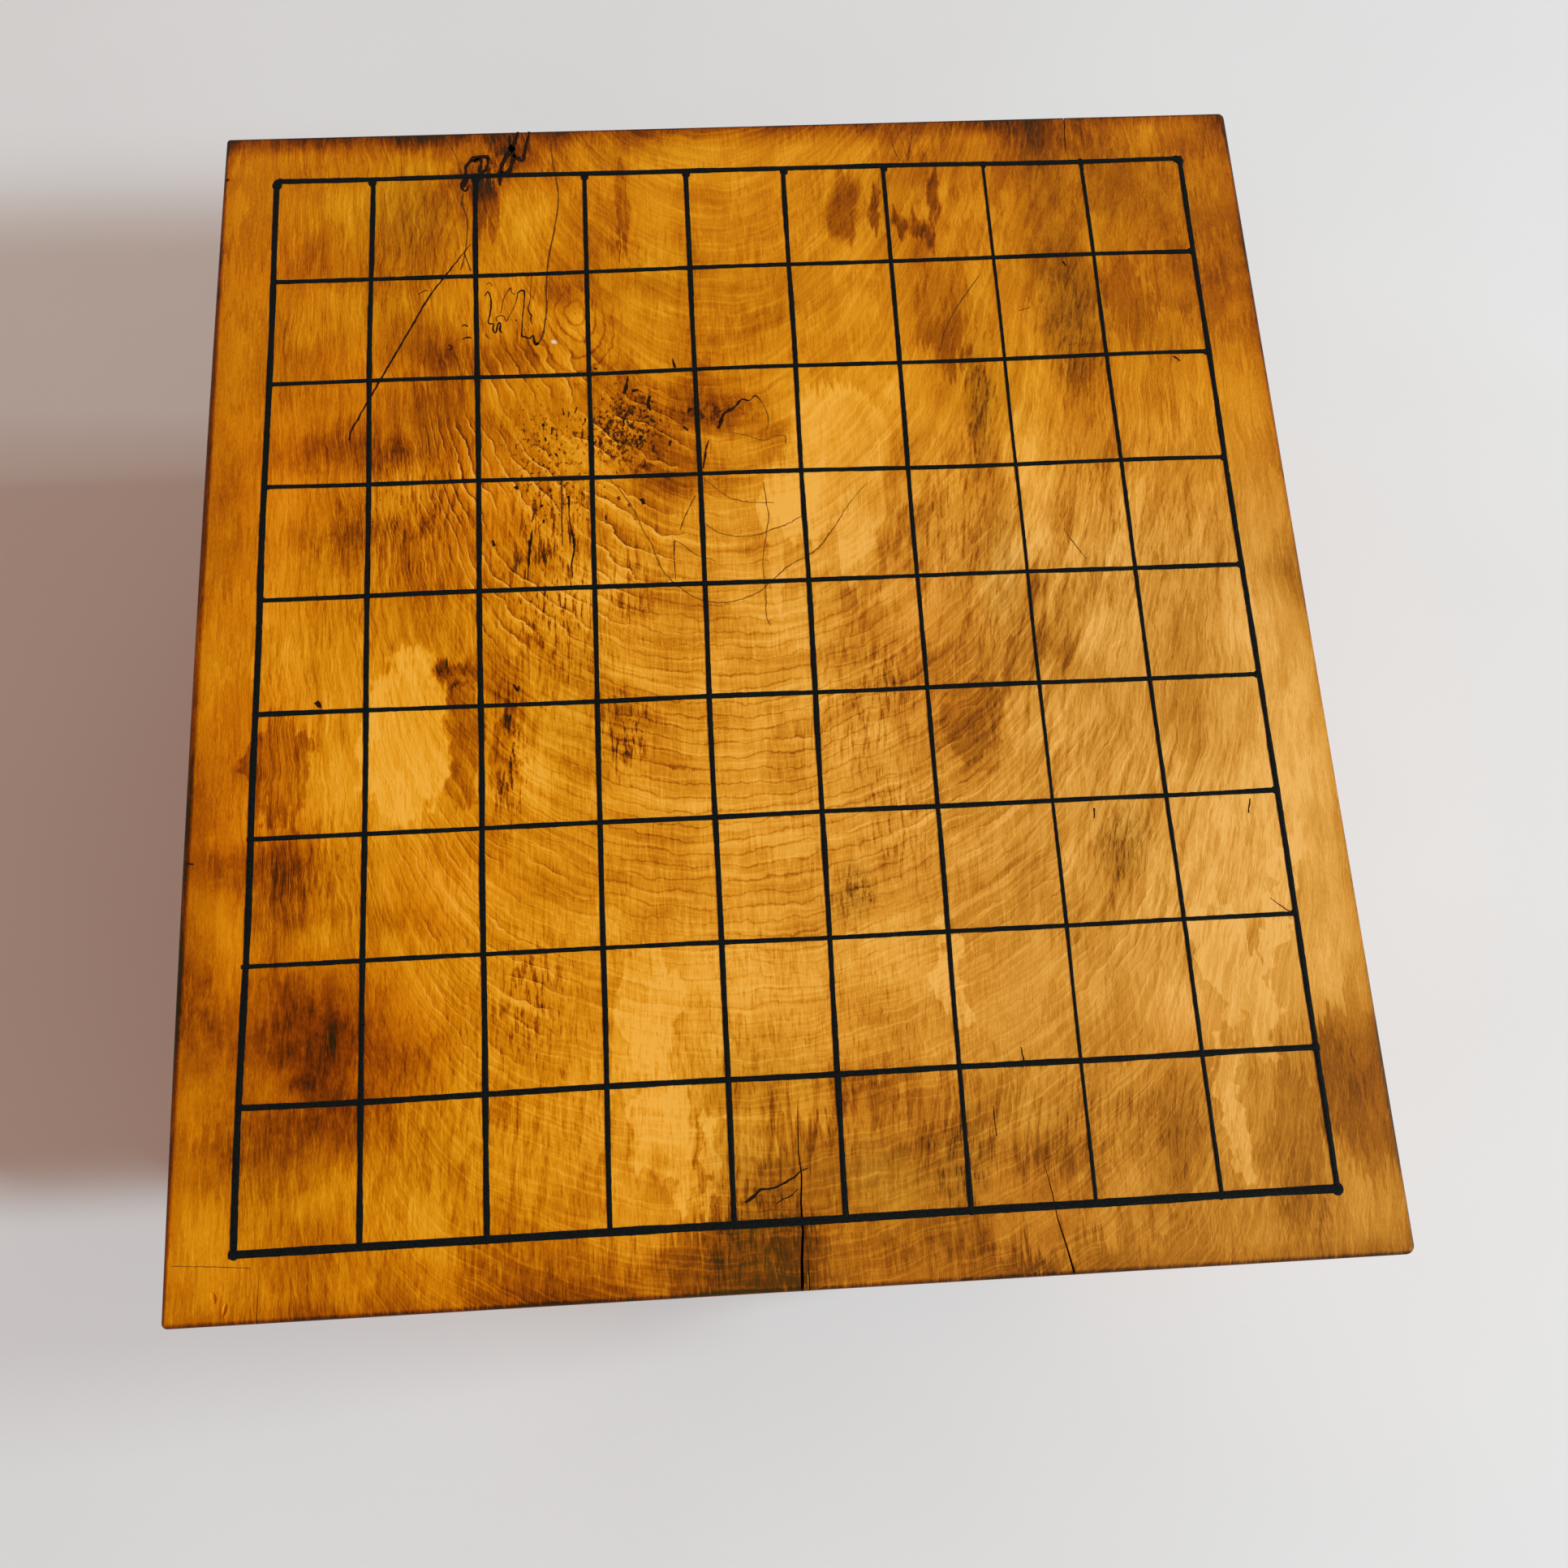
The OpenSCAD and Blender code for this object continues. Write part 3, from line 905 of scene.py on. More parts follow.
# %% Clouds of stain
clouds = [
    (-112, 178, 34, 9, 0.2), (-165, 70, 24, 190, 0.165), (-164, 2, 14, 22, -0.26),
    (-164, -110, 24, 100, 0.13), (-140, -112, 12, 26, 0.12), (-92, 158, 18, 12, 0.28),
    (-104, 140, 18, 28, 0.18), (-138, 135, 16, 14, 0.14), (-98, 100, 28, 15, 0.32, -32),
    (-70, 98, 15, 11, 0.34), (-97, 80, 24, 14, 0.28, -15), (-124, 68, 26, 14, 0.38),
    (-104, 66, 24, 9, 0.24), (-135, 100, 16, 26, 0.14), (-97, 40, 26, 12, 0.22),
    (-97, 24, 20, 12, 0.16), (-125, 40, 14, 18, 0.42), (-156, 50, 10, 34, 0.14),
    (-72, 74, 14, 22, 0.14, -30), (-48, 133, 34, 8, 0.12), (-50, 121, 28, 10, 0.3),
    (-15, 134, 6, 15, 0.18), (-2, 112, 20, 22, 0.16), (-35, 84, 22, 13, 0.26, -10),
    (-32, 62, 22, 18, 0.34, -40), (-12, 76, 18, 10, 0.36, 15), (8, 66, 16, 13, 0.28),
    (-32, 50, 14, 9, 0.28), (-60, 48, 14, 20, -0.1), (-56, 78, 15, 11, 0.15, -20),
    (-78, 176, 20, 13, 0.24), (-83, 168, 8, 9, 0.3), (-71, 172, 10, 12, 0.26),
    (-77, 160, 6, 12, 0.26), (-116, 152, 16, 16, -0.12), (-66, 146, 16, 20, -0.18),
    (-57, 108, 13, 13, -0.12), (-12, 160, 40, 20, -0.12), (66, 96, 11, 11, 0.14),
    (102, 110, 14, 34, 0.24), (108, 82, 14, 22, 0.26), (98, 144, 18, 24, 0.34),
    (125, 155, 26, 22, 0.15), (138, 140, 12, 24, 0.22), (155, 128, 16, 34, 0.24),
    (162, 174, 15, 22, 0.36), (132, 92, 20, 24, 0.1), (112, 173, 22, 14, 0.36),
    (60, 168, 18, 14, 0.22), (94, 170, 14, 20, 0.32), (150, 160, 12, 20, 0.16),
    (75, 178, 30, 6, 0.12), (90, 180, 14, 14, 0.2), (-57, 181, 12, 9, 0.28),
    (84, 50, 10, 32, -0.32, -8), (77, 26, 12, 18, -0.42, -30), (20, 168, 40, 14, -0.14),
    (-140, 15, 11, 28, -0.14), (-73, -33, 20, 16, -0.21), (-50, 18, 18, 20, -0.24),
    (0, -20, 26, 28, -0.18), (-15, 60, 18, 34, 0.2), (39, 88, 14, 12, -0.08),
    (152, 112, 26, 40, 0.16), (111, 92, 7, 20, 0.16), (-84, 98, 12, 13, 0.26),
    (-122, 80, 24, 14, 0.12), (0, -62, 42, 14, -0.1), (12, 42, 12, 24, -0.14),
    (100, 0, 16, 11, -0.18), (143, 0, 9, 28, -0.26), (152, -50, 20, 32, -0.36),
    (86, -33, 14, 18, -0.24), (112, 26, 34, 16, -0.16), (-76, -4, 9, 16, 0.26),
    (55, -5, 13, 9, 0.1), (60, -42, 11, 9, 0.14), (86, -5, 7, 11, 0.18), (160, 18, 10, 16, 0.26),
    (125, -27, 11, 9, 0.1), (-154, 10, 11, 18, 0.1), (-155, -45, 11, 32, 0.18),
    (-124, -34, 11, 20, -0.16), (-136, -66, 20, 16, 0.46), (-137, -85, 12, 22, 0.3),
    (-150, -62, 18, 9, 0.2), (-105, -79, 34, 7, 0.18, -8), (-129, -107, 16, 20, 0.36),
    (-118, -110, 40, 30, 0.32), (-126, -136, 26, 16, 0.34), (-105, -116, 22, 11, 0.2, -20),
    (-108, -133, 18, 11, 0.12), (-154, -112, 16, 30, 0.26), (-146, -140, 18, 22, 0.34),
    (98, -75, 11, 14, 0.2), (20, -131, 32, 12, 0.24), (34, -144, 32, 18, 0.26),
    (-8, -146, 13, 14, -0.24), (-22, -118, 14, 13, -0.22), (30, -56, 20, 20, -0.28),
    (60, -138, 20, 9, 0.1), (40, -173, 90, 18, 0.26), (-14, -172, 34, 20, 0.24),
    (70, -158, 100, 26, 0.12), (60, 0, 120, 150, -0.08), (-10, 10, 60, 90, -0.08),
    # The rows at y 188, here and further down, darken the back rim: partly wear and partly painted
    # shade where the arris turns away
    (0, 172, 190, 40, 0.08), (0, 188, 400, 16, 0.4), (-130, -174, 60, 22, 0.2),
    (-54, -178, 26, 18, 0.26), (-92, -184, 80, 22, 0.24), (140, -186, 46, 18, 0.28),
    (-130, -124, 26, 34, 0.14), (-105, -124, 30, 12, 0.12), (-136, -78, 12, 26, 0.1),
    (130, 140, 50, 60, 0.12), (-110, 130, 60, 70, 0.07), (155, -133, 20, 26, 0.26),
    (122, 112, 12, 24, 0.12), (63, 110, 14, 30, 0.12), (70, -154, 24, 13, 0.28),
    (102, -146, 14, 26, 0.36), (140, -160, 26, 15, 0.2), (-98, -102, 13, 13, -0.14),
    (-54, -84, 20, 18, -0.28), (-22, -52, 18, 15, -0.1), (4, -68, 22, 15, -0.16),
    (-14, -100, 28, 30, -0.32), (26, -96, 24, 14, -0.28), (118, -80, 24, 18, -0.28),
    (130, -64, 26, 30, -0.3), (152, -96, 14, 30, -0.28), (152, -20, 16, 34, -0.24),
    (63, -138, 12, 12, -0.22), (-52, -122, 26, 26, -0.18), (-48, -144, 14, 14, -0.2),
    (87, -97, 12, 12, 0.14), (-118, 62, 20, 20, 0.1), (60, 81, 12, 14, 0.22), (66, 34, 6, 18, 0.12),
    (150, 18, 12, 22, -0.2), (-28, 129, 15, 11, -0.26), (-70, 116, 12, 12, -0.2),
    (-140, 122, 12, 24, 0.16), (-41, 104, 9, 18, 0.24), (-84, 162, 12, 9, 0.2),
    (-16, 90, 11, 18, 0.26), (40, 82, 8, 18, -0.24), (167, 90, 12, 70, 0.2),
    (-26, -12, 12, 11, 0.14), (52, 29, 11, 13, -0.22), (-100, 172, 14, 9, -0.14),
    (26, -28, 12, 20, -0.14), (-130, 188, 60, 14, 0.42), (120, 44, 12, 18, -0.22),
    (-130, -160, 20, 16, 0.24), (-160, -98, 12, 26, 0.24), (112, -112, 18, 16, -0.24),
    (44, -168, 20, 12, 0.2), (71, 14, 11, 14, -0.34), (94, -165, 14, 10, 0.2),
    (134, -168, 24, 10, 0.2), (-58, 7, 12, 16, -0.16), (124, -52, 12, 22, -0.18),
    (-126, -120, 12, 12, 0.16), (12, -96, 14, 12, -0.14), (-76, -118, 12, 12, -0.12),
    (-40, 25, 11, 11, -0.15), (119, 7, 12, 12, -0.14), (-137, -44, 11, 11, -0.13),
    (86, -71, 13, 13, -0.15), (67, -20, 9, 10, -0.12), (-163, 37, 10, 20, -0.15),
    (60, 182, 16, 9, 0.15), (141, 165, 13, 13, 0.17), (34, -174, 18, 8, 0.18),
    (126, 78, 12, 12, 0.14), (-163, 180, 10, 12, 0.3), (-39, 72, 10, 10, -0.12),
    (34, -5, 11, 11, -0.14), (-128, 166, 18, 14, 0.18), (-59, 170, 10, 13, 0.18),
    (56, 137, 10, 10, 0.14), (-85, -44, 10, 12, -0.14), (108, -85, 11, 11, -0.13),
    (-112, -163, 15, 12, 0.14), (-78, -164, 15, 12, 0.14), (-11, 182, 14, 8, 0.13),
    (-57, 42, 13, 15, -0.13), (36, 57, 9, 12, -0.13), (-46, 32, 10, 10, -0.11),
]
print("clouds", len(clouds))

# %% Stains and bare places with an edge
patches = [
    (-87, -30, 6, 20, 0.22), (-138, -34, 9, 20, 0.22), (-103, -25, 13, 28, -0.26),
    (59, -27, 8, 13, 0.16, -10), (58, -27, 12, 20, 0.1), (138, 118, 9, 12, 0.1),
]
drips = [
    (62, 110, 10, 24, 0.11, -4), (121, 112, 8, 19, 0.1), (70, 74, 4, 24, 0.14, -6),
    (-80, 154, 4.5, 12, 0.26, 14), (-37, 152, 3, 18, 0.18), (-37, -26, 8, 11, 0.12),
    (28, 2, 12, 14, 0.05, -12), (37, -18, 7, 15, 0.06), (-75, -34, 4, 20, 0.22),
    (156, -138, 14, 26, 0.2), (134, -147, 12, 20, 0.12), (-14, -174, 24, 14, 0.2),
    (2, -154, 14, 20, 0.2), (30, -178, 40, 12, 0.09), (-65, -177, 26, 11, 0.13),
    (110, -178, 60, 9, 0.1), (52, 30, 9, 20, 0.08, -30), (74, -4, 10, 26, 0.1, -14),
]
blots = [
    (-88.5, -7, 7.6, 5.6, 0.2), (-92.6, -5, 2.8, 2.6, 0.2), (-88, -4.6, 2.6, 2.3, 0.16),
    (61, 98, 8.8, 30, 0.05), (69, 36, 8, 20, 0.05, -12),
]
drops = [
    (34, 150, 6.4, 16, -14), (35, 142, 3.2, 8, -4), (44.6, 151, 2.2, 12, -8), (43.6, 143.5, 2.6, 5),
    (51.5, 142.5, 2.8, 7), (57.2, 141, 3.4, 6), (61.2, 136, 2.4, 9), (63.4, 152, 2.2, 13, -3),
]
tongues = [
    (31.8, 46, 8, 26, -8), (26.8, 29, 2.4, 16), (17, 50, 8.6, 20), (27, 66, 16, 20), (8, 44, 7, 16),
    (5, 34, 2.4, 27, 2),
]
bare = [
    (-36, -108, 10, 19), (-35, -138, 10, 12), (-30, -150, 3, 12), (-22, -150, 2.4, 14),
    (128, -106, 6, 24, 14), (120, -104, 4, 18, 10), (120, -143, 3.6, 22, 4), (47, -100, 4, 16),
    (142, -84, 4, 26, -20),
]
print("stains with an edge", len(patches + drips + blots + drops), "bare", len(tongues + bare))

# %% Depth with the stains
stained = together(clouds)
depth = depth + stained * 0.92 + marbling * stained.math("MINIMUM", 0.4) * 1.5
depth = together(patches, firm_place, 0.10, depth)
depth = together(drips, ragged_place, 0.16, depth)
depth = together(blots, drop_place, 0.25, depth)
depth = depth + merged(drops, drop_place, 0.4) * 0.30
depth = depth - merged(tongues, drop_place, 0.12) * 0.20
depth = depth - merged(bare, firm_place, 0.10) * 0.22
print("nodes after the stains", len(wood.tree.nodes))

# %% [markdown]
# Insects and weather left small dark flecks in the wood round the knots. There are
# too many to place one by one, so they are spots of a fine noise that show where its
# threshold is lowered. Near the front edge dirt has worked into the end of the grain
# and greyed it.

# %% Flecks and dirt
fleck_field = together([
    (-36, 74, 17, 24, 1.3), (-60, 60, 28, 40, 1.15), (-114, 52, 5, 26, 0.8), (22, -77, 8, 12, 1),
    (-72, -30, 9, 28, 0.7), (-66, -105, 12, 16, 0.6), (105, 100, 16, 34, 0.5),
    (99, -68, 9, 10, 0.6), (-40, -28, 10, 16, 0.6), (-36, 20, 8, 14, 0.5),
], edge=0.6)
dirt = together([
    (-8, -158, 20, 22, 0.7), (-10, -176, 32, 16, 0.8), (46, -150, 10, 18, 0.6),
    (20, -152, 26, 14, 0.5), (103, 106, 13, 36, 0.9), (71, 74, 5, 28, 0.8, -6),
    (72, 20, 8, 30, 0.4), (22, -77, 7, 12, 0.6), (100, -66, 10, 14, 0.5), (97, 165, 10, 20, 0.4),
    (-104, 148, 20, 26, 0.4),
])
specks = wood.grain(wood.at(x / 1.1, y / 1.7, 21), 3, 0.6)
flecks = wood.ease(specks, 0.76 - fleck_field * 0.17, 0.80 - fleck_field * 0.17)
depth = depth + flecks * 0.42
dirt = dirt * (0.8 + streak * 2.4 + smears * 0.5)
print("nodes after the dirt", len(wood.tree.nodes))

# %% [markdown]
# The stain isn't the same brown everywhere. It turned rusty where it lies thick
# along the left side, and olive where the wood under it had greyed with age. Each
# could have a ramp of its own, but a tint is one colour: two more fields say where,
# and the colour is multiplied by the tint there.

# %% Rust and olive
rust = together([
    (-148, -52, 26, 26, 1.1), (-146, -20, 22, 24, 0.9), (-144, 52, 22, 28, 0.9),
    (-122, -113, 36, 32, 1), (-147, 18, 20, 24, 0.6), (-122, 63, 28, 24, 0.7),
    (-117, 91, 24, 20, 0.7), (-81, 55, 28, 26, 0.7), (46, 6, 24, 28, 0.5), (157, -138, 22, 28, 0.7),
    (-144, 134, 22, 22, 0.6), (-91, -70, 24, 20, 0.5), (57, -163, 26, 18, 0.5),
    (50, -21, 20, 20, 0.5), (-148, -89, 18, 24, 0.6), (-94, 31, 26, 22, 0.5),
    (-145, 77, 20, 22, 0.5), (107, -120, 20, 18, 0.4),
])
olive = together([
    (121, 151, 34, 28, 0.9), (-111, 153, 34, 24, 0.9), (-10, -129, 26, 24, 0.8),
    (152, 141, 22, 28, 0.5), (37, -163, 34, 18, 0.7), (97, 130, 22, 28, 0.5),
    (-108, 117, 24, 24, 0.6), (-135, -147, 22, 20, 0.6), (43, 152, 26, 22, 0.5),
    (76, 83, 22, 26, 0.6), (66, 106, 20, 24, 0.4), (-27, 123, 28, 20, 0.5), (126, 102, 26, 24, 0.5),
    (-29, 173, 34, 14, 0.5), (-96, 171, 22, 14, 0.4), (13, 118, 26, 20, 0.4),
    (-54, -20, 22, 36, 0.5), (60, -138, 22, 20, 0.4), (-75, 145, 18, 20, 0.4),
    (-92, -145, 24, 22, 0.5), (-66, 65, 18, 18, 0.4),
])
depth = depth + rust * 0.045 - olive * 0.055
print("nodes after the tints", len(wood.tree.nodes))

# %% [markdown]
# One ramp can't give both sides of the board, because the front right is paler:
# partly faded by daylight, and partly a painted sheen of the lamps at the right.
# So the depth is read twice, by an amber ramp and a paler one with that sheen in
# it, and the two colours pass into each other across the top. Every arris is
# darker, partly from handling and partly as painted shade where the rounded edge
# turns away, and the old polish is only a little glossy.

# %% Colour, arris and gloss of the top
inside = (half_width / mm - abs(x)).math("MINIMUM", half_length / mm - abs(y))
# Every arris is darker: partly handling dirt and partly painted shade where the rounded edge turns
# away
depth = depth + (1 - wood.ease(inside, 0.2, 1.5)) * 0.35 + (1 - wood.ease(inside, 0, 6)) * 0.09
# Painted shade: the wood darkens with depth below the top, in the cracks and dents and down the
# rounded arris
depth = depth + wood.ease(top / mm - wood.z, 0.2, 1.6) * 0.55
amber = [
    (0.0, (0.97, 0.46, 0.050)), (0.16, (0.88, 0.37, 0.016)), (0.30, (0.76, 0.28, 0.004)),
    (0.45, (0.61, 0.185, 0.001)), (0.60, (0.42, 0.098, 0.0006)), (0.75, (0.24, 0.042, 0.0006)),
    (0.88, (0.105, 0.016, 0.0006)), (1.0, (0.014, 0.006, 0.003)),
]
faded_with_sheen = [
    (0.0, (0.91, 0.48, 0.120)), (0.16, (0.79, 0.38, 0.070)), (0.30, (0.68, 0.30, 0.040)),
    (0.45, (0.545, 0.21, 0.020)), (0.60, (0.39, 0.13, 0.010)), (0.75, (0.235, 0.068, 0.006)),
    (0.88, (0.11, 0.030, 0.004)), (1.0, (0.018, 0.010, 0.006)),
]
# Painted sheen in part: the paler, bluer front right stands partly for the lamps' sheen and partly
# for fading
fading_and_sheen = wood.ease(soft_x, -90, 125) * (1 - wood.ease(soft_y, 10, 90) * 0.8)


def blend(share, first, second, kind="MIX"):
    """One colour of the top passing into another, or tinted by it."""
    settings = {"data_type": "RGBA", "blend_type": kind}
    return wood.node("Mix", settings, {0: share, 6: first, 7: second}, output=2)


colour = blend(fading_and_sheen, wood.ramp(amber, depth), wood.ramp(faded_with_sheen, depth))
colour = blend(rust, colour, (1.0, 0.82, 0.7, 1), "MULTIPLY")
colour = blend(olive, colour, (0.89, 1.0, 0.9, 1), "MULTIPLY")
colour = blend(dirt * 0.6, colour, (0.060, 0.038, 0.005, 1))
chip = stain(wood.mm, 0.6, -59.2, 102.8, 1.3, 0.9, -20)
colour = blend(chip, colour, (0.80, 0.72, 0.55, 1))
relief = streak * 0.5 + fibre * 0.35 + crest_relief_and_painted_light * ridge_field * 0.5 - rings * ring_field * 0.25
wood.shade(Base_Color=colour, Normal=wood.bump(relief, 0.00014))
wood.shade(Roughness=0.44 + (cloud + fibre) * 0.14, Specular_IOR_Level=0.24)
wood.shade(Specular_Tint=(1.0, 0.60, 0.08, 1), Coat_Weight=0.01, Coat_Roughness=0.30)
print("nodes of the top", len(wood.tree.nodes))

# %% [markdown]
# ## The wood of the sides, the ends and the underside
# The long sides show the same trunk cut along its length, so their lines run
# level. The two ends show it cut across: rings curve round a heart that lies below
# the block, with fine rays between them, and they took up more stain. The
# underside was left plainer, and the recess was chopped out and only oiled. One
# solid texture could serve all, but the cuts look different on real wood, so each
# has a finish of its own, and they share how depth becomes colour.

# %% Sides, ends and underside
def finish_wood(finish, depth, relief):
    """Colour, gloss and relief of a plain wood from its depth of stain."""
    out_x = half_width / mm - abs(finish.x)
    out_y = half_length / mm - abs(finish.y)
    out_z = (top / mm - finish.z).math("MINIMUM", finish.z - underside / mm)
    low = out_x.math("MINIMUM", out_y)
    high = out_x.math("MAXIMUM", out_y)
    inside = low.math("MAXIMUM", high.math("MINIMUM", out_z))
    worn = (1 - finish.ease(inside, 0.2, 1.6)) * 0.25 + (1 - finish.ease(inside, 0, 12)) * 0.08
    finish.shade(Base_Color=finish.ramp(amber, depth + worn))
    finish.shade(Roughness=0.46 + relief * 0.16, Normal=finish.bump(relief, 0.00015))
    finish.shade(Specular_IOR_Level=0.30)


sides = Finish("side_wood")
x, y, z = sides.x, sides.y, sides.z
side_field = z + sides.swing(x / 60, y / 120, z / 50, 3, 0.5) * 34
side_rings = sides.ring_lines(side_field, 6, 0.16)
side_streak = sides.swing(x / 20, y / 60, side_field / 1.6, 3, 0.6)
side_cloud = sides.swing(x / 60, y / 60, z / 35, 3, 0.5)
side_depth = 0.50 + side_streak * 0.34 + side_cloud * 0.5 + side_rings * 0.08
finish_wood(sides, side_depth, side_streak)

ends = Finish("end_grain_wood")
heart_across = ends.x - 4
heart_up = ends.z - 20
end_wave = ends.grain(ends.scaled(ends.mm, 1 / 35), 3) - 0.5
end_radius = (heart_across * heart_across + heart_up * heart_up).math("SQRT") + end_wave * 14
ray_angle = heart_across.math("ARCTAN2", heart_up)
rays = ends.swing(ray_angle * 70, end_radius / 30, ends.y / 100, 3, 0.6)
end_rings = ends.ease((end_radius / 3.9 + rays * 0.5).math("FRACT"), 0.45, 0.98)
end_pores = ends.grain(ends.scaled(ends.mm, 1 / 0.7), 2, 0.6) - 0.5
end_cloud = ends.grain(ends.scaled(ends.mm, 1 / 45), 3) - 0.5
end_depth = 0.52 + end_rings * 0.07 + rays * 0.20 + end_pores * 0.20 + end_cloud * 0.5
finish_wood(ends, end_depth, end_pores + rays * 0.5)

under = Finish("underside_wood")
under_wave = under.grain(under.scaled(under.mm, 1 / 60), 3) - 0.5
under_field = (under.x * under.x + 1600).math("SQRT") + under.y * 0.16 + under_wave * 26
under_rings = under.ring_lines(under_field, 5.5, 0.2)
under_streak = under.swing(under_field / 1.8, under.y / 50, under.z / 20, 3, 0.6)
under_depth = 0.46 + under_rings * 0.10 + under_streak * 0.34 + under_wave * 0.3
finish_wood(under, under_depth, under_streak)
print("nodes of the sides, ends, underside", [len(f.tree.nodes) for f in (sides, ends, under)])

# %% Which face has which wood
finishes = (wood, sides, ends, under)
for finish in finishes:
    worn_block.data.materials.append(finish.material)

skin = 1.4 * mm
hollow_inset = 3 * mm


def finish_number(face):
    """The place in the row of finishes of the wood that a face shows."""
    spot, normal = face.center, face.normal
    inset = min(half_width - abs(spot.x), half_length - abs(spot.y))
    above_mortises = spot.z > underside + mortise_depth
    if normal.z > 0.3 or (above_mortises and inset > skin):
        return finishes.index(wood if spot.z > (top + underside) / 2 else under)
    if normal.z < -0.3 or (not above_mortises and inset > hollow_inset):
        return finishes.index(under)
    return finishes.index(sides if abs(normal.x) > abs(normal.y) else ends)


for face in worn_block.data.polygons:
    face.material_index = finish_number(face)
numbers = [face.material_index for face in worn_block.data.polygons]
print("faces by finish", [numbers.count(i) for i in range(len(finishes))])

# %% [markdown]
# ## Bark and threads in the wood
# Where the tree grew round its knots it shut bark in, and the planed top shows it
# as thin black loops and dots. Brown threads run beside them, a knife has left one
# long dark scratch, and the rims of a few rings below the middle are sharper than
# the rest. Noise can't draw such lines, and a painted picture would blur. So they
# are pieces of their own: thin bars that follow each path, let into the top and
# level with it to a few hundredths of a millimetre.

# %% Threads let into the top
def curved(path, step):
    """Points about a step apart on a smooth curve through the points of a path."""
    knots = [Vector(knot) for knot in path]
    padded = [knots[0]] + knots + [knots[-1]]
    points = [knots[0]]
    for before, start, end, after in zip(padded, padded[1:], padded[2:], padded[3:]):
        pieces = max(3, round((end - start).length / step) + 1)
        leave = start + (end - before) / 6
        arrive = end - (after - start) / 6
        points += geometry.interpolate_bezier(start, leave, arrive, end, pieces)[1:]
    return points


thread_step = 0.8
proud = 0.03
let_in = 0.4


def thread(shape, path, wobble):
    """A thin bar along (x, y, width) points in millimetres, with a natural wobble."""
    stations = curved(path, thread_step)

    def place(step, side, upper):
        x, y, width = stations[step]
        sway_x = wobble * noise.noise(Vector((x / 1.3, y / 1.3, 3)))
        sway_y = wobble * noise.noise(Vector((x / 1.3, y / 1.3, 17)))
        swell = 0.7 + 0.5 * noise.noise(Vector((x / 1.6, y / 1.6, 8)))
        aside = beside(stations, step) * (side * width * swell / 2)
        height = top / mm + (proud if upper else -let_in)
        return Vector((x + sway_x + aside.x, y + sway_y + aside.y, height)) * mm

    add_bar(shape, len(stations) - 1, place)


print("a point every", thread_step, "mm")

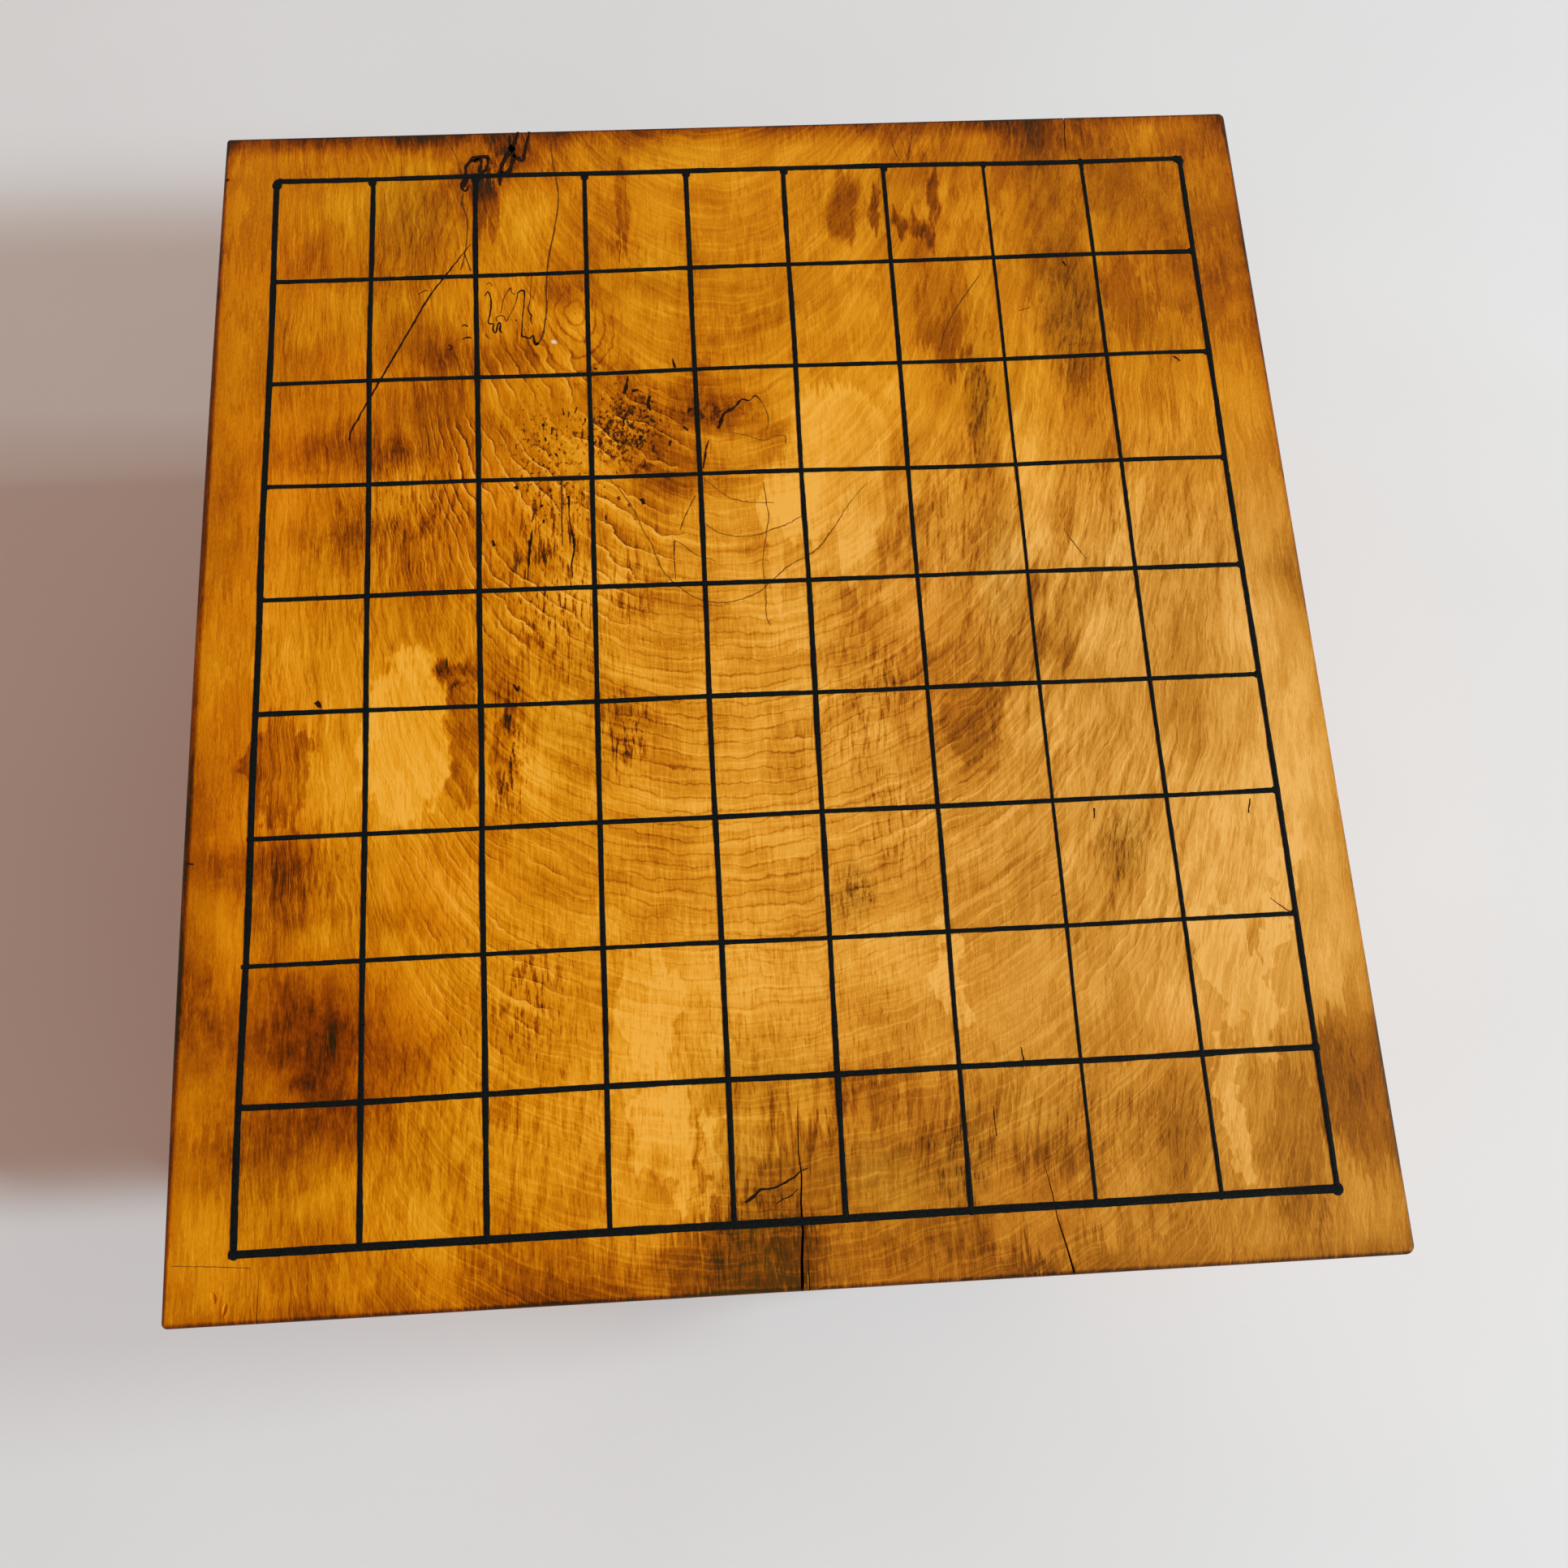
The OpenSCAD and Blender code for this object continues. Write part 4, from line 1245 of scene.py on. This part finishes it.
# %% Paths of shut-in bark
bark_paths = [
    [(-84.9, 139.4, 0.4), (-91.8, 129.4, 0.7), (-98, 120, 0.8), (-103, 110, 0.9)],
    [(-103, 110, 0.8), (-109.3, 97.5, 0.9), (-115.5, 85, 0.8), (-120.6, 74.4, 0.9),
     (-121.4, 70.8, 0.5)],
    [(-79, 172.2, 1.6), (-81.6, 172.4, 2.2), (-84.2, 171.4, 2.8), (-86.1, 169.2, 1.8),
     (-86.5, 166.4, 1.2), (-86.7, 163.4, 2.8), (-87.6, 160.6, 2.2), (-86.4, 159.3, 1.2),
     (-85.3, 161.8, 0.7)],
    [(-79.2, 172, 1.6), (-79.5, 169.4, 1.3), (-80.4, 166.9, 2), (-82.2, 166.6, 1.2),
     (-81.6, 169, 1), (-81.8, 171.6, 1.8), (-83.8, 170.4, 1.6)],
    [(-69.6, 181.6, 1.3), (-70.8, 177.6, 1.8), (-72.2, 174.4, 2.8), (-73.9, 171.4, 2.4),
     (-75, 168.2, 1.8), (-75.6, 165, 2), (-75.5, 161, 0.8)],
    [(-72.4, 180.4, 1), (-72.2, 177, 1.7), (-71.4, 174.2, 2.2), (-71.3, 171.4, 2.2),
     (-72, 168.2, 1.7), (-73.4, 165.4, 2.4), (-75.2, 166.2, 1.8)],
    [(-66, 181.6, 0.9), (-66.8, 177.6, 1.2), (-67.6, 173.6, 1.6), (-68.3, 170.4, 1.6),
     (-69.7, 171.3, 2), (-71.2, 172.8, 2)],
    [(-80.6, 120, 0.3), (-79.6, 121.6, 0.7), (-78.9, 120.4, 0.6), (-78.5, 118, 0.8),
     (-78.6, 115, 0.6), (-79.2, 112, 0.5), (-79.4, 110.2, 0.8), (-77.7, 109.9, 1)],
    [(-77.6, 109.8, 0.8), (-78, 108, 0.8), (-77.2, 106.7, 0.8), (-76.6, 109, 0.7),
     (-76.1, 110.5, 0.8), (-75.6, 109.6, 0.8), (-75.8, 107.4, 0.8), (-75.1, 106.8, 0.6)],
    [(-70.1, 120.9, 0.6), (-69.4, 121.7, 0.9), (-68.2, 121.5, 0.9), (-68.2, 119.4, 0.5),
     (-68.4, 116, 0.5), (-68.8, 112, 0.5), (-69, 108, 0.6), (-69.1, 105.2, 0.9)],
    [(-69.3, 105.2, 0.9), (-68, 104.8, 1), (-66.6, 104.2, 0.8), (-65.6, 105.4, 1),
     (-65.3, 103.8, 1.1), (-64.9, 102, 1.3), (-63.8, 102.6, 0.9)],
    [(-65.7, 127, 0.3), (-66.2, 122, 0.3), (-66.4, 118, 0.3), (-67.1, 114.8, 0.6),
     (-66.2, 112.6, 0.6), (-66.2, 110.4, 0.5), (-65.7, 109.4, 0.3)],
    [(-87.8, 109.4, 0.5), (-86.6, 109.9, 0.8), (-85.8, 109.2, 0.5)],
    [(-87.6, 104.8, 0.5), (-86.4, 105.3, 0.8), (-84.6, 105.2, 0.5)],
    [(-91.8, 103, 0.5), (-90.5, 102.3, 0.8), (-91.3, 101.1, 0.6)],
    [(-71.2, 111.2, 0.5), (-70.6, 110.9, 0.9)],
    [(-101.2, 121.4, 0.3), (-99, 122.8, 0.5), (-98, 122.4, 0.3)],
    [(-14.9, 57.2, 0.6), (-14.2, 60.6, 1), (-13.5, 64.4, 0.8), (-12.8, 66.6, 0.4)],
    [(-9.6, 70.4, 1.2), (-8.5, 73.6, 2), (-7.6, 75.8, 1.2), (-5.2, 77, 1.5), (-3.4, 78.8, 1.1),
     (-2, 80.4, 1.1), (0.2, 79.9, 0.6), (2.2, 81.4, 0.8), (3.9, 79.7, 0.3)],
    [(-36.6, 89.8, 0.6), (-37.2, 86.4, 1.3), (-38, 83.6, 1.8)],
    [(-35.6, 84.6, 1.8), (-33.6, 84.8, 1.2)],
    [(-30.2, 82.6, 1.2), (-30.8, 79.8, 1.6), (-30, 77.6, 1)],
    [(-38.6, 72.4, 0.6), (-38.2, 75, 1), (-37.2, 77.4, 0.7)],
    [(-33.6, 67.4, 1.8), (-33.2, 69.2, 2)], [(-18.8, 76.2, 1.4), (-17.8, 78, 1.6)],
    [(-20.4, 71.6, 1), (-18.8, 70.4, 1.2)], [(-24.9, 65.2, 1.1), (-24.4, 67, 0.9)],
    [(-33, 58, 0.6), (-32.2, 59.8, 0.8)],
    [(-22.7, 95.4, 0.4), (-22.4, 93.6, 1.2), (-22, 92.2, 1.2)],
    [(-47.2, 93.4, 0.8), (-46.2, 92.6, 1.1)],
    [(-13, -159, 1), (-10.6, -157.5, 1.2), (-8.8, -156, 0.8), (-6, -155.8, 0.7), (-3.4, -155, 0.8),
     (0, -153.4, 0.7), (1.8, -152, 0.5), (4, -151, 0.3)],
    [(-4.8, -159.8, 0.4), (-3, -158.6, 0.6), (-1, -158, 0.4), (1, -156.4, 0.3)],
    [(63.8, -122.2, 0.3), (64.1, -125, 0.6), (63.8, -128, 0.3)],
    [(91.7, -55.6, 0.7), (91.4, -58.8, 0.5)], [(136.9, -55, 0.5), (136, -59.4, 0.6)],
    [(54.8, -137.6, 0.4), (54.8, -145.6, 0.4)],
    [(-128.8, -13.2, 1.6), (-127.9, -14.4, 1.9), (-127.3, -15.2, 1)],
    [(103, 126.2, 0.9), (103.6, 124.6, 0.7)], [(134, 90.4, 0.8), (135.8, 88.6, 1)],
    [(-161.6, 166.4, 1), (-162.4, 165.6, 1.2)], [(-162.8, -59.4, 0.8), (-161, -59.8, 0.5)],
    [(-72.6, -10.4, 0.8), (-71.4, -12.4, 1.2), (-70.8, -11, 0.6)],
    [(-66.6, 38.6, 0.4), (-67, 35.6, 1.1), (-67.4, 32, 1.3), (-67.8, 27, 0.7), (-68.1, 22.2, 0.4)],
    [(-55.6, 49.6, 1.6), (-55.5, 46.8, 0.9), (-55.6, 43, 0.4), (-55.2, 39.4, 0.5),
     (-54.4, 35.6, 1.1), (-54.2, 31.6, 1), (-55, 27.4, 0.6), (-54.8, 22.4, 0.4)],
    [(-63.1, 74.4, 1.2), (-62.7, 73.2, 1.2)], [(-62.4, 69.4, 0.9), (-62.1, 68.2, 0.9)],
    [(-60.3, 73, 0.5), (-60.4, 70.4, 0.7)], [(-59.3, 63.9, 1.2), (-58.9, 62.9, 1)],
    [(-71.5, 53.4, 1.6), (-70.8, 52.4, 1.2)], [(-78.3, 35.6, 0.9), (-77.8, 33.8, 1.3)],
    [(-63.4, 46.9, 1.1), (-64, 46, 1)], [(-63, 41.9, 1), (-63.2, 40.6, 0.8)],
    [(-44.8, 42.6, 0.5), (-44.5, 41, 0.8)], [(-33.8, 47.6, 1.9), (-33.2, 45.8, 1.7)],
    [(-56.9, 79.4, 0.5), (-56.6, 77, 0.7)], [(-52.6, 79.6, 0.6), (-53.2, 77.6, 0.6)],
    [(-49.8, 75.6, 1), (-50.2, 74.4, 0.8)],
]
print("paths of bark", len(bark_paths))

# %% Paths of brown threads and of ring edges
brown_paths = [
    [(-87.2, 158.8, 0.9), (-87.6, 154.6, 0.9), (-85.9, 148, 0.6), (-86.1, 141.3, 0.5),
     (-86.8, 135, 0.5), (-88, 130, 0.6)],
    [(-86.8, 136, 0.4), (-85.6, 132, 0.5), (-84.8, 129.4, 0.6)],
    [(-59.2, 178, 0.6), (-58.7, 170.6, 0.6), (-57.6, 163, 0.6), (-57, 155, 0.6), (-58.4, 144, 0.6),
     (-60.3, 134, 0.7), (-61.4, 122, 0.8), (-61.2, 116, 0.9), (-61.9, 109.6, 0.8),
     (-62.5, 105.8, 0.9), (-63.6, 103.2, 0.9), (-64.8, 101.9, 1)],
    [(-93.6, 181, 0.3), (-91, 176, 0.4), (-89, 171, 0.4), (-88.2, 166.6, 0.5)],
    [(-76.6, 110.8, 0.5), (-77, 112.2, 0.6), (-75.4, 112.9, 0.5), (-74.4, 112.3, 0.5),
     (-73.8, 110.7, 0.5), (-72.6, 113.2, 0.5), (-71.3, 116, 0.4), (-70.6, 118.6, 0.5),
     (-70.1, 121, 0.5)],
    [(-75.5, 113.6, 0.4), (-75, 117, 0.4), (-74.3, 119.8, 0.5), (-73, 122, 0.6),
     (-72.4, 122.8, 0.6), (-72.1, 121, 0.5), (-71.1, 120.4, 0.4)],
    [(-80.3, 106.4, 0.5), (-79.6, 105.2, 0.8), (-78.8, 104.7, 0.5)],
    [(-79.9, 124.3, 0.3), (-78.9, 125, 0.4), (-78.2, 123.6, 0.3)],
    [(60.6, 95, 0.3), (63.1, 102.5, 0.5), (66.3, 108.8, 0.4), (70, 114.4, 0.5), (75.6, 121.9, 0.3)],
    [(59, 178, 0.3), (57.6, 172, 0.5), (56.2, 166.2, 0.4)],
    [(51.6, 173.8, 0.4), (52.6, 169.6, 0.3), (53.8, 166.3, 0.3)],
    [(87, 108.6, 0.3), (89, 109.2, 0.4), (90.6, 109.8, 0.3)],
    [(-161, -166.6, 0.2), (-150, -167.4, 0.25), (-141, -168.2, 0.2)],
    [(92.8, 32.4, 0.3), (95, 28, 0.4), (98.6, 22, 0.3)],
    [(138.4, -84.4, 0.3), (141, -86.6, 0.5), (143.8, -88.8, 0.6)],
    [(-24.3, 33.4, 0.5), (-24.7, 28, 0.5), (-24.5, 20.6, 0.3)],
    [(-22.6, 36.8, 0.5), (-20.6, 42, 0.4), (-17.6, 48, 0.4)],
    [(-71, 30.6, 0.6), (-71.4, 27.6, 1.3), (-71.8, 25, 0.9)],
    [(-40.9, 48.6, 1.4), (-40.4, 47.4, 1.1)], [(-37.8, 46.2, 1), (-37.4, 45, 1)],
    [(-66.8, 41, 0.5), (-66, 44, 0.9), (-66.6, 46.4, 0.6)],
    [(-54.9, 78.2, 0.8), (-55.2, 76.2, 0.7)],
    [(-57.4, 56, 0.5), (-57.6, 49, 0.7), (-57.8, 40, 0.6), (-57.6, 33, 0.4)],
]
edge_paths = [
    [(-43, 54.6, 0.3), (-39, 49, 0.5), (-35.6, 42.5, 0.5), (-33.4, 36.4, 0.4), (-31, 32, 0.5),
     (-29.6, 27, 0.5), (-27.6, 22.6, 0.5), (-24.6, 19.2, 0.6)],
    [(-24.6, 19.2, 0.6), (-20, 15.2, 0.5), (-15, 13.1, 0.6), (-10, 12.6, 0.5), (-5, 13.6, 0.5),
     (0, 15.6, 0.5), (3, 18.4, 0.4)],
    [(3, 18.4, 0.4), (6, 21, 0.5), (10, 24.2, 0.5), (14, 26.2, 0.6), (18, 28.8, 0.6),
     (22.4, 34.2, 0.6), (25, 38, 0.4), (28.6, 43.4, 0.3), (34.6, 50.4, 0.2)],
    [(-24.3, 33.4, 0.4), (-22, 31.8, 0.4), (-18, 28.4, 0.4), (-12.6, 26.2, 0.2)],
    [(-15, 38.4, 0.4), (-11, 35.4, 0.5), (-6, 34, 0.5), (0, 34.1, 0.5), (5, 35.8, 0.5),
     (10, 37.6, 0.4), (14, 40, 0.3)],
    [(-14.6, 53.4, 0.5), (-10, 49, 0.5), (-6, 46.2, 0.5), (0, 45, 0.4), (6, 44.8, 0.3)],
    [(3.2, 52, 0.4), (3.6, 45, 0.4), (4.1, 40, 0.4), (3, 34, 0.4), (1.6, 25, 0.4), (1.9, 14, 0.5),
     (1.6, 8, 0.4), (2.8, 4.6, 0.3)],
    [(3.9, 79.7, 0.5), (5.4, 76, 0.6), (5.7, 72.4, 0.5), (5.2, 69.6, 0.3)],
    [(-9.4, 69.4, 0.3), (-5, 68.8, 0.4), (0, 67.4, 0.4), (3, 66, 0.5), (5.6, 66.2, 0.5),
     (7, 67.2, 0.6), (10.4, 67.2, 0.6), (10.7, 64.6, 0.4)],
]
print("brown threads", len(brown_paths), "ring edges", len(edge_paths))


# %% Bars and finishes of the threads
class Speckled(Finish):
    """A finish whose colour and roughness vary with one fine noise."""

    def __init__(self, name, fineness, dark, light, roughness, gloss):
        super().__init__(name)
        self.speckle = self.grain(self.scaled(self.mm, fineness), 3)
        self.shade(Base_Color=self.ramp([dark, light], self.speckle))
        self.shade(Roughness=roughness + (self.speckle - 0.5) * 0.3, Specular_IOR_Level=gloss)


bark = Speckled(
    "shut_in_bark", 2, (0.35, (0.006, 0.003, 0.002)), (0.75, (0.045, 0.014, 0.003)), 0.6, 0.05
)
brown = Speckled(
    "brown_thread", 1.2, (0.3, (0.05, 0.014, 0.002)), (0.7, (0.20, 0.060, 0.004)), 0.5, 0.1
)
amber_edge = Speckled(
    "ring_edge", 0.8, (0.3, (0.16, 0.045, 0.002)), (0.7, (0.36, 0.13, 0.006)), 0.5, 0.1
)
groups = [(bark_paths, 0.25), (brown_paths, 0.12), (edge_paths, 0.3)]
threads = bmesh.new()
for number, (paths, wobble) in enumerate(groups):
    done = len(threads.faces)
    for path in paths:
        thread(threads, path, wobble)
    for face in list(threads.faces)[done:]:
        face.material_index = number
grain_threads = new_piece("grain_threads", threads, bark, brown, amber_edge)
print("thread faces", len(grain_threads.data.polygons))

# %% [markdown]
# ## The lacquer
# The lines are black lacquer, dull with age. Pure black would look like a hole, so
# it is a very dark grey that varies with the strokes of the brush, and a slight
# relief breaks up its shine.

# %% Lacquer
lacquer = Speckled(
    "black_lacquer", 1.4, (0.3, (0.002, 0.003, 0.003)), (0.75, (0.007, 0.009, 0.008)), 0.5, 0.05
)
lacquer.shade(Normal=lacquer.bump(lacquer.speckle, 0.00005))
inked_lines.data.materials.append(lacquer.material)
print("nodes of the lacquer", len(lacquer.tree.nodes))

# %% [markdown]
# ## The wood of the legs
# A leg is carved from one upright billet, so the growth rings stand like sleeves
# round a heart outside it, and the carving cuts through them in long pointed
# loops. Rings worked out from the distance to that heart give those loops by
# themselves. The wood is darker between the ribs, towards the sole and towards
# the top under the block, and paler on the edges of the ribs.

# %% Leg wood
x, y, z = leg_wood.x, leg_wood.y, leg_wood.z
out_across = abs(x) - leg_centre.x / mm
out_along = abs(y) - abs(leg_centre.y) / mm
billet_wave = leg_wood.swing(x / 30, y / 30, z / 70, 3, 0.5)
heart_distance = ((out_across + 62) ** 2 + (out_along + 38) ** 2).math("SQRT")
heart_distance = heart_distance + z * 0.05 + billet_wave * 12
leg_rings = leg_wood.ring_lines(heart_distance, 4.2, 0.22)
leg_streak = leg_wood.swing(x / 1.4, y / 1.4, z / 26, 3, 0.6)
rib_angle = out_along.math("ARCTAN2", out_across)
in_hollow = abs((rib_angle * (rib_count / 2)).math("SINE"))
low_down = 1 - leg_wood.ease(z, 2, 26)
high_up = leg_wood.ease(z, leg_height - 16, leg_height - 3)
leg_depth = 0.50 + leg_rings * 0.10 + leg_streak * 0.26 + billet_wave * 0.5
leg_depth = leg_depth + (in_hollow - 0.55) * leg_wood.ease(z, 3, 14) * 0.20
leg_depth = leg_depth + low_down * 0.12 + high_up * 0.14
leg_wood.shade(Base_Color=leg_wood.ramp(amber, leg_depth))
leg_wood.shade(Roughness=0.40 + leg_streak * 0.18, Normal=leg_wood.bump(leg_streak, 0.00012))
leg_wood.shade(Specular_IOR_Level=0.35, Coat_Weight=0.10, Coat_Roughness=0.30)
print("nodes of the legs' wood", len(leg_wood.tree.nodes))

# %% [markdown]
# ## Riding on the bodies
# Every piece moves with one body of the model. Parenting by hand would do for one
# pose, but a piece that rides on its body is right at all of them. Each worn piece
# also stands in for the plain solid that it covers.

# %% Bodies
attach(worn_block, "board")
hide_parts("block")
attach(grain_threads, "board")
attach(inked_lines, "board")
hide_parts("playing_lines")
for place, leg in legs.items():
    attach(leg, f"{place}_leg")
    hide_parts(f"leg_{place}")
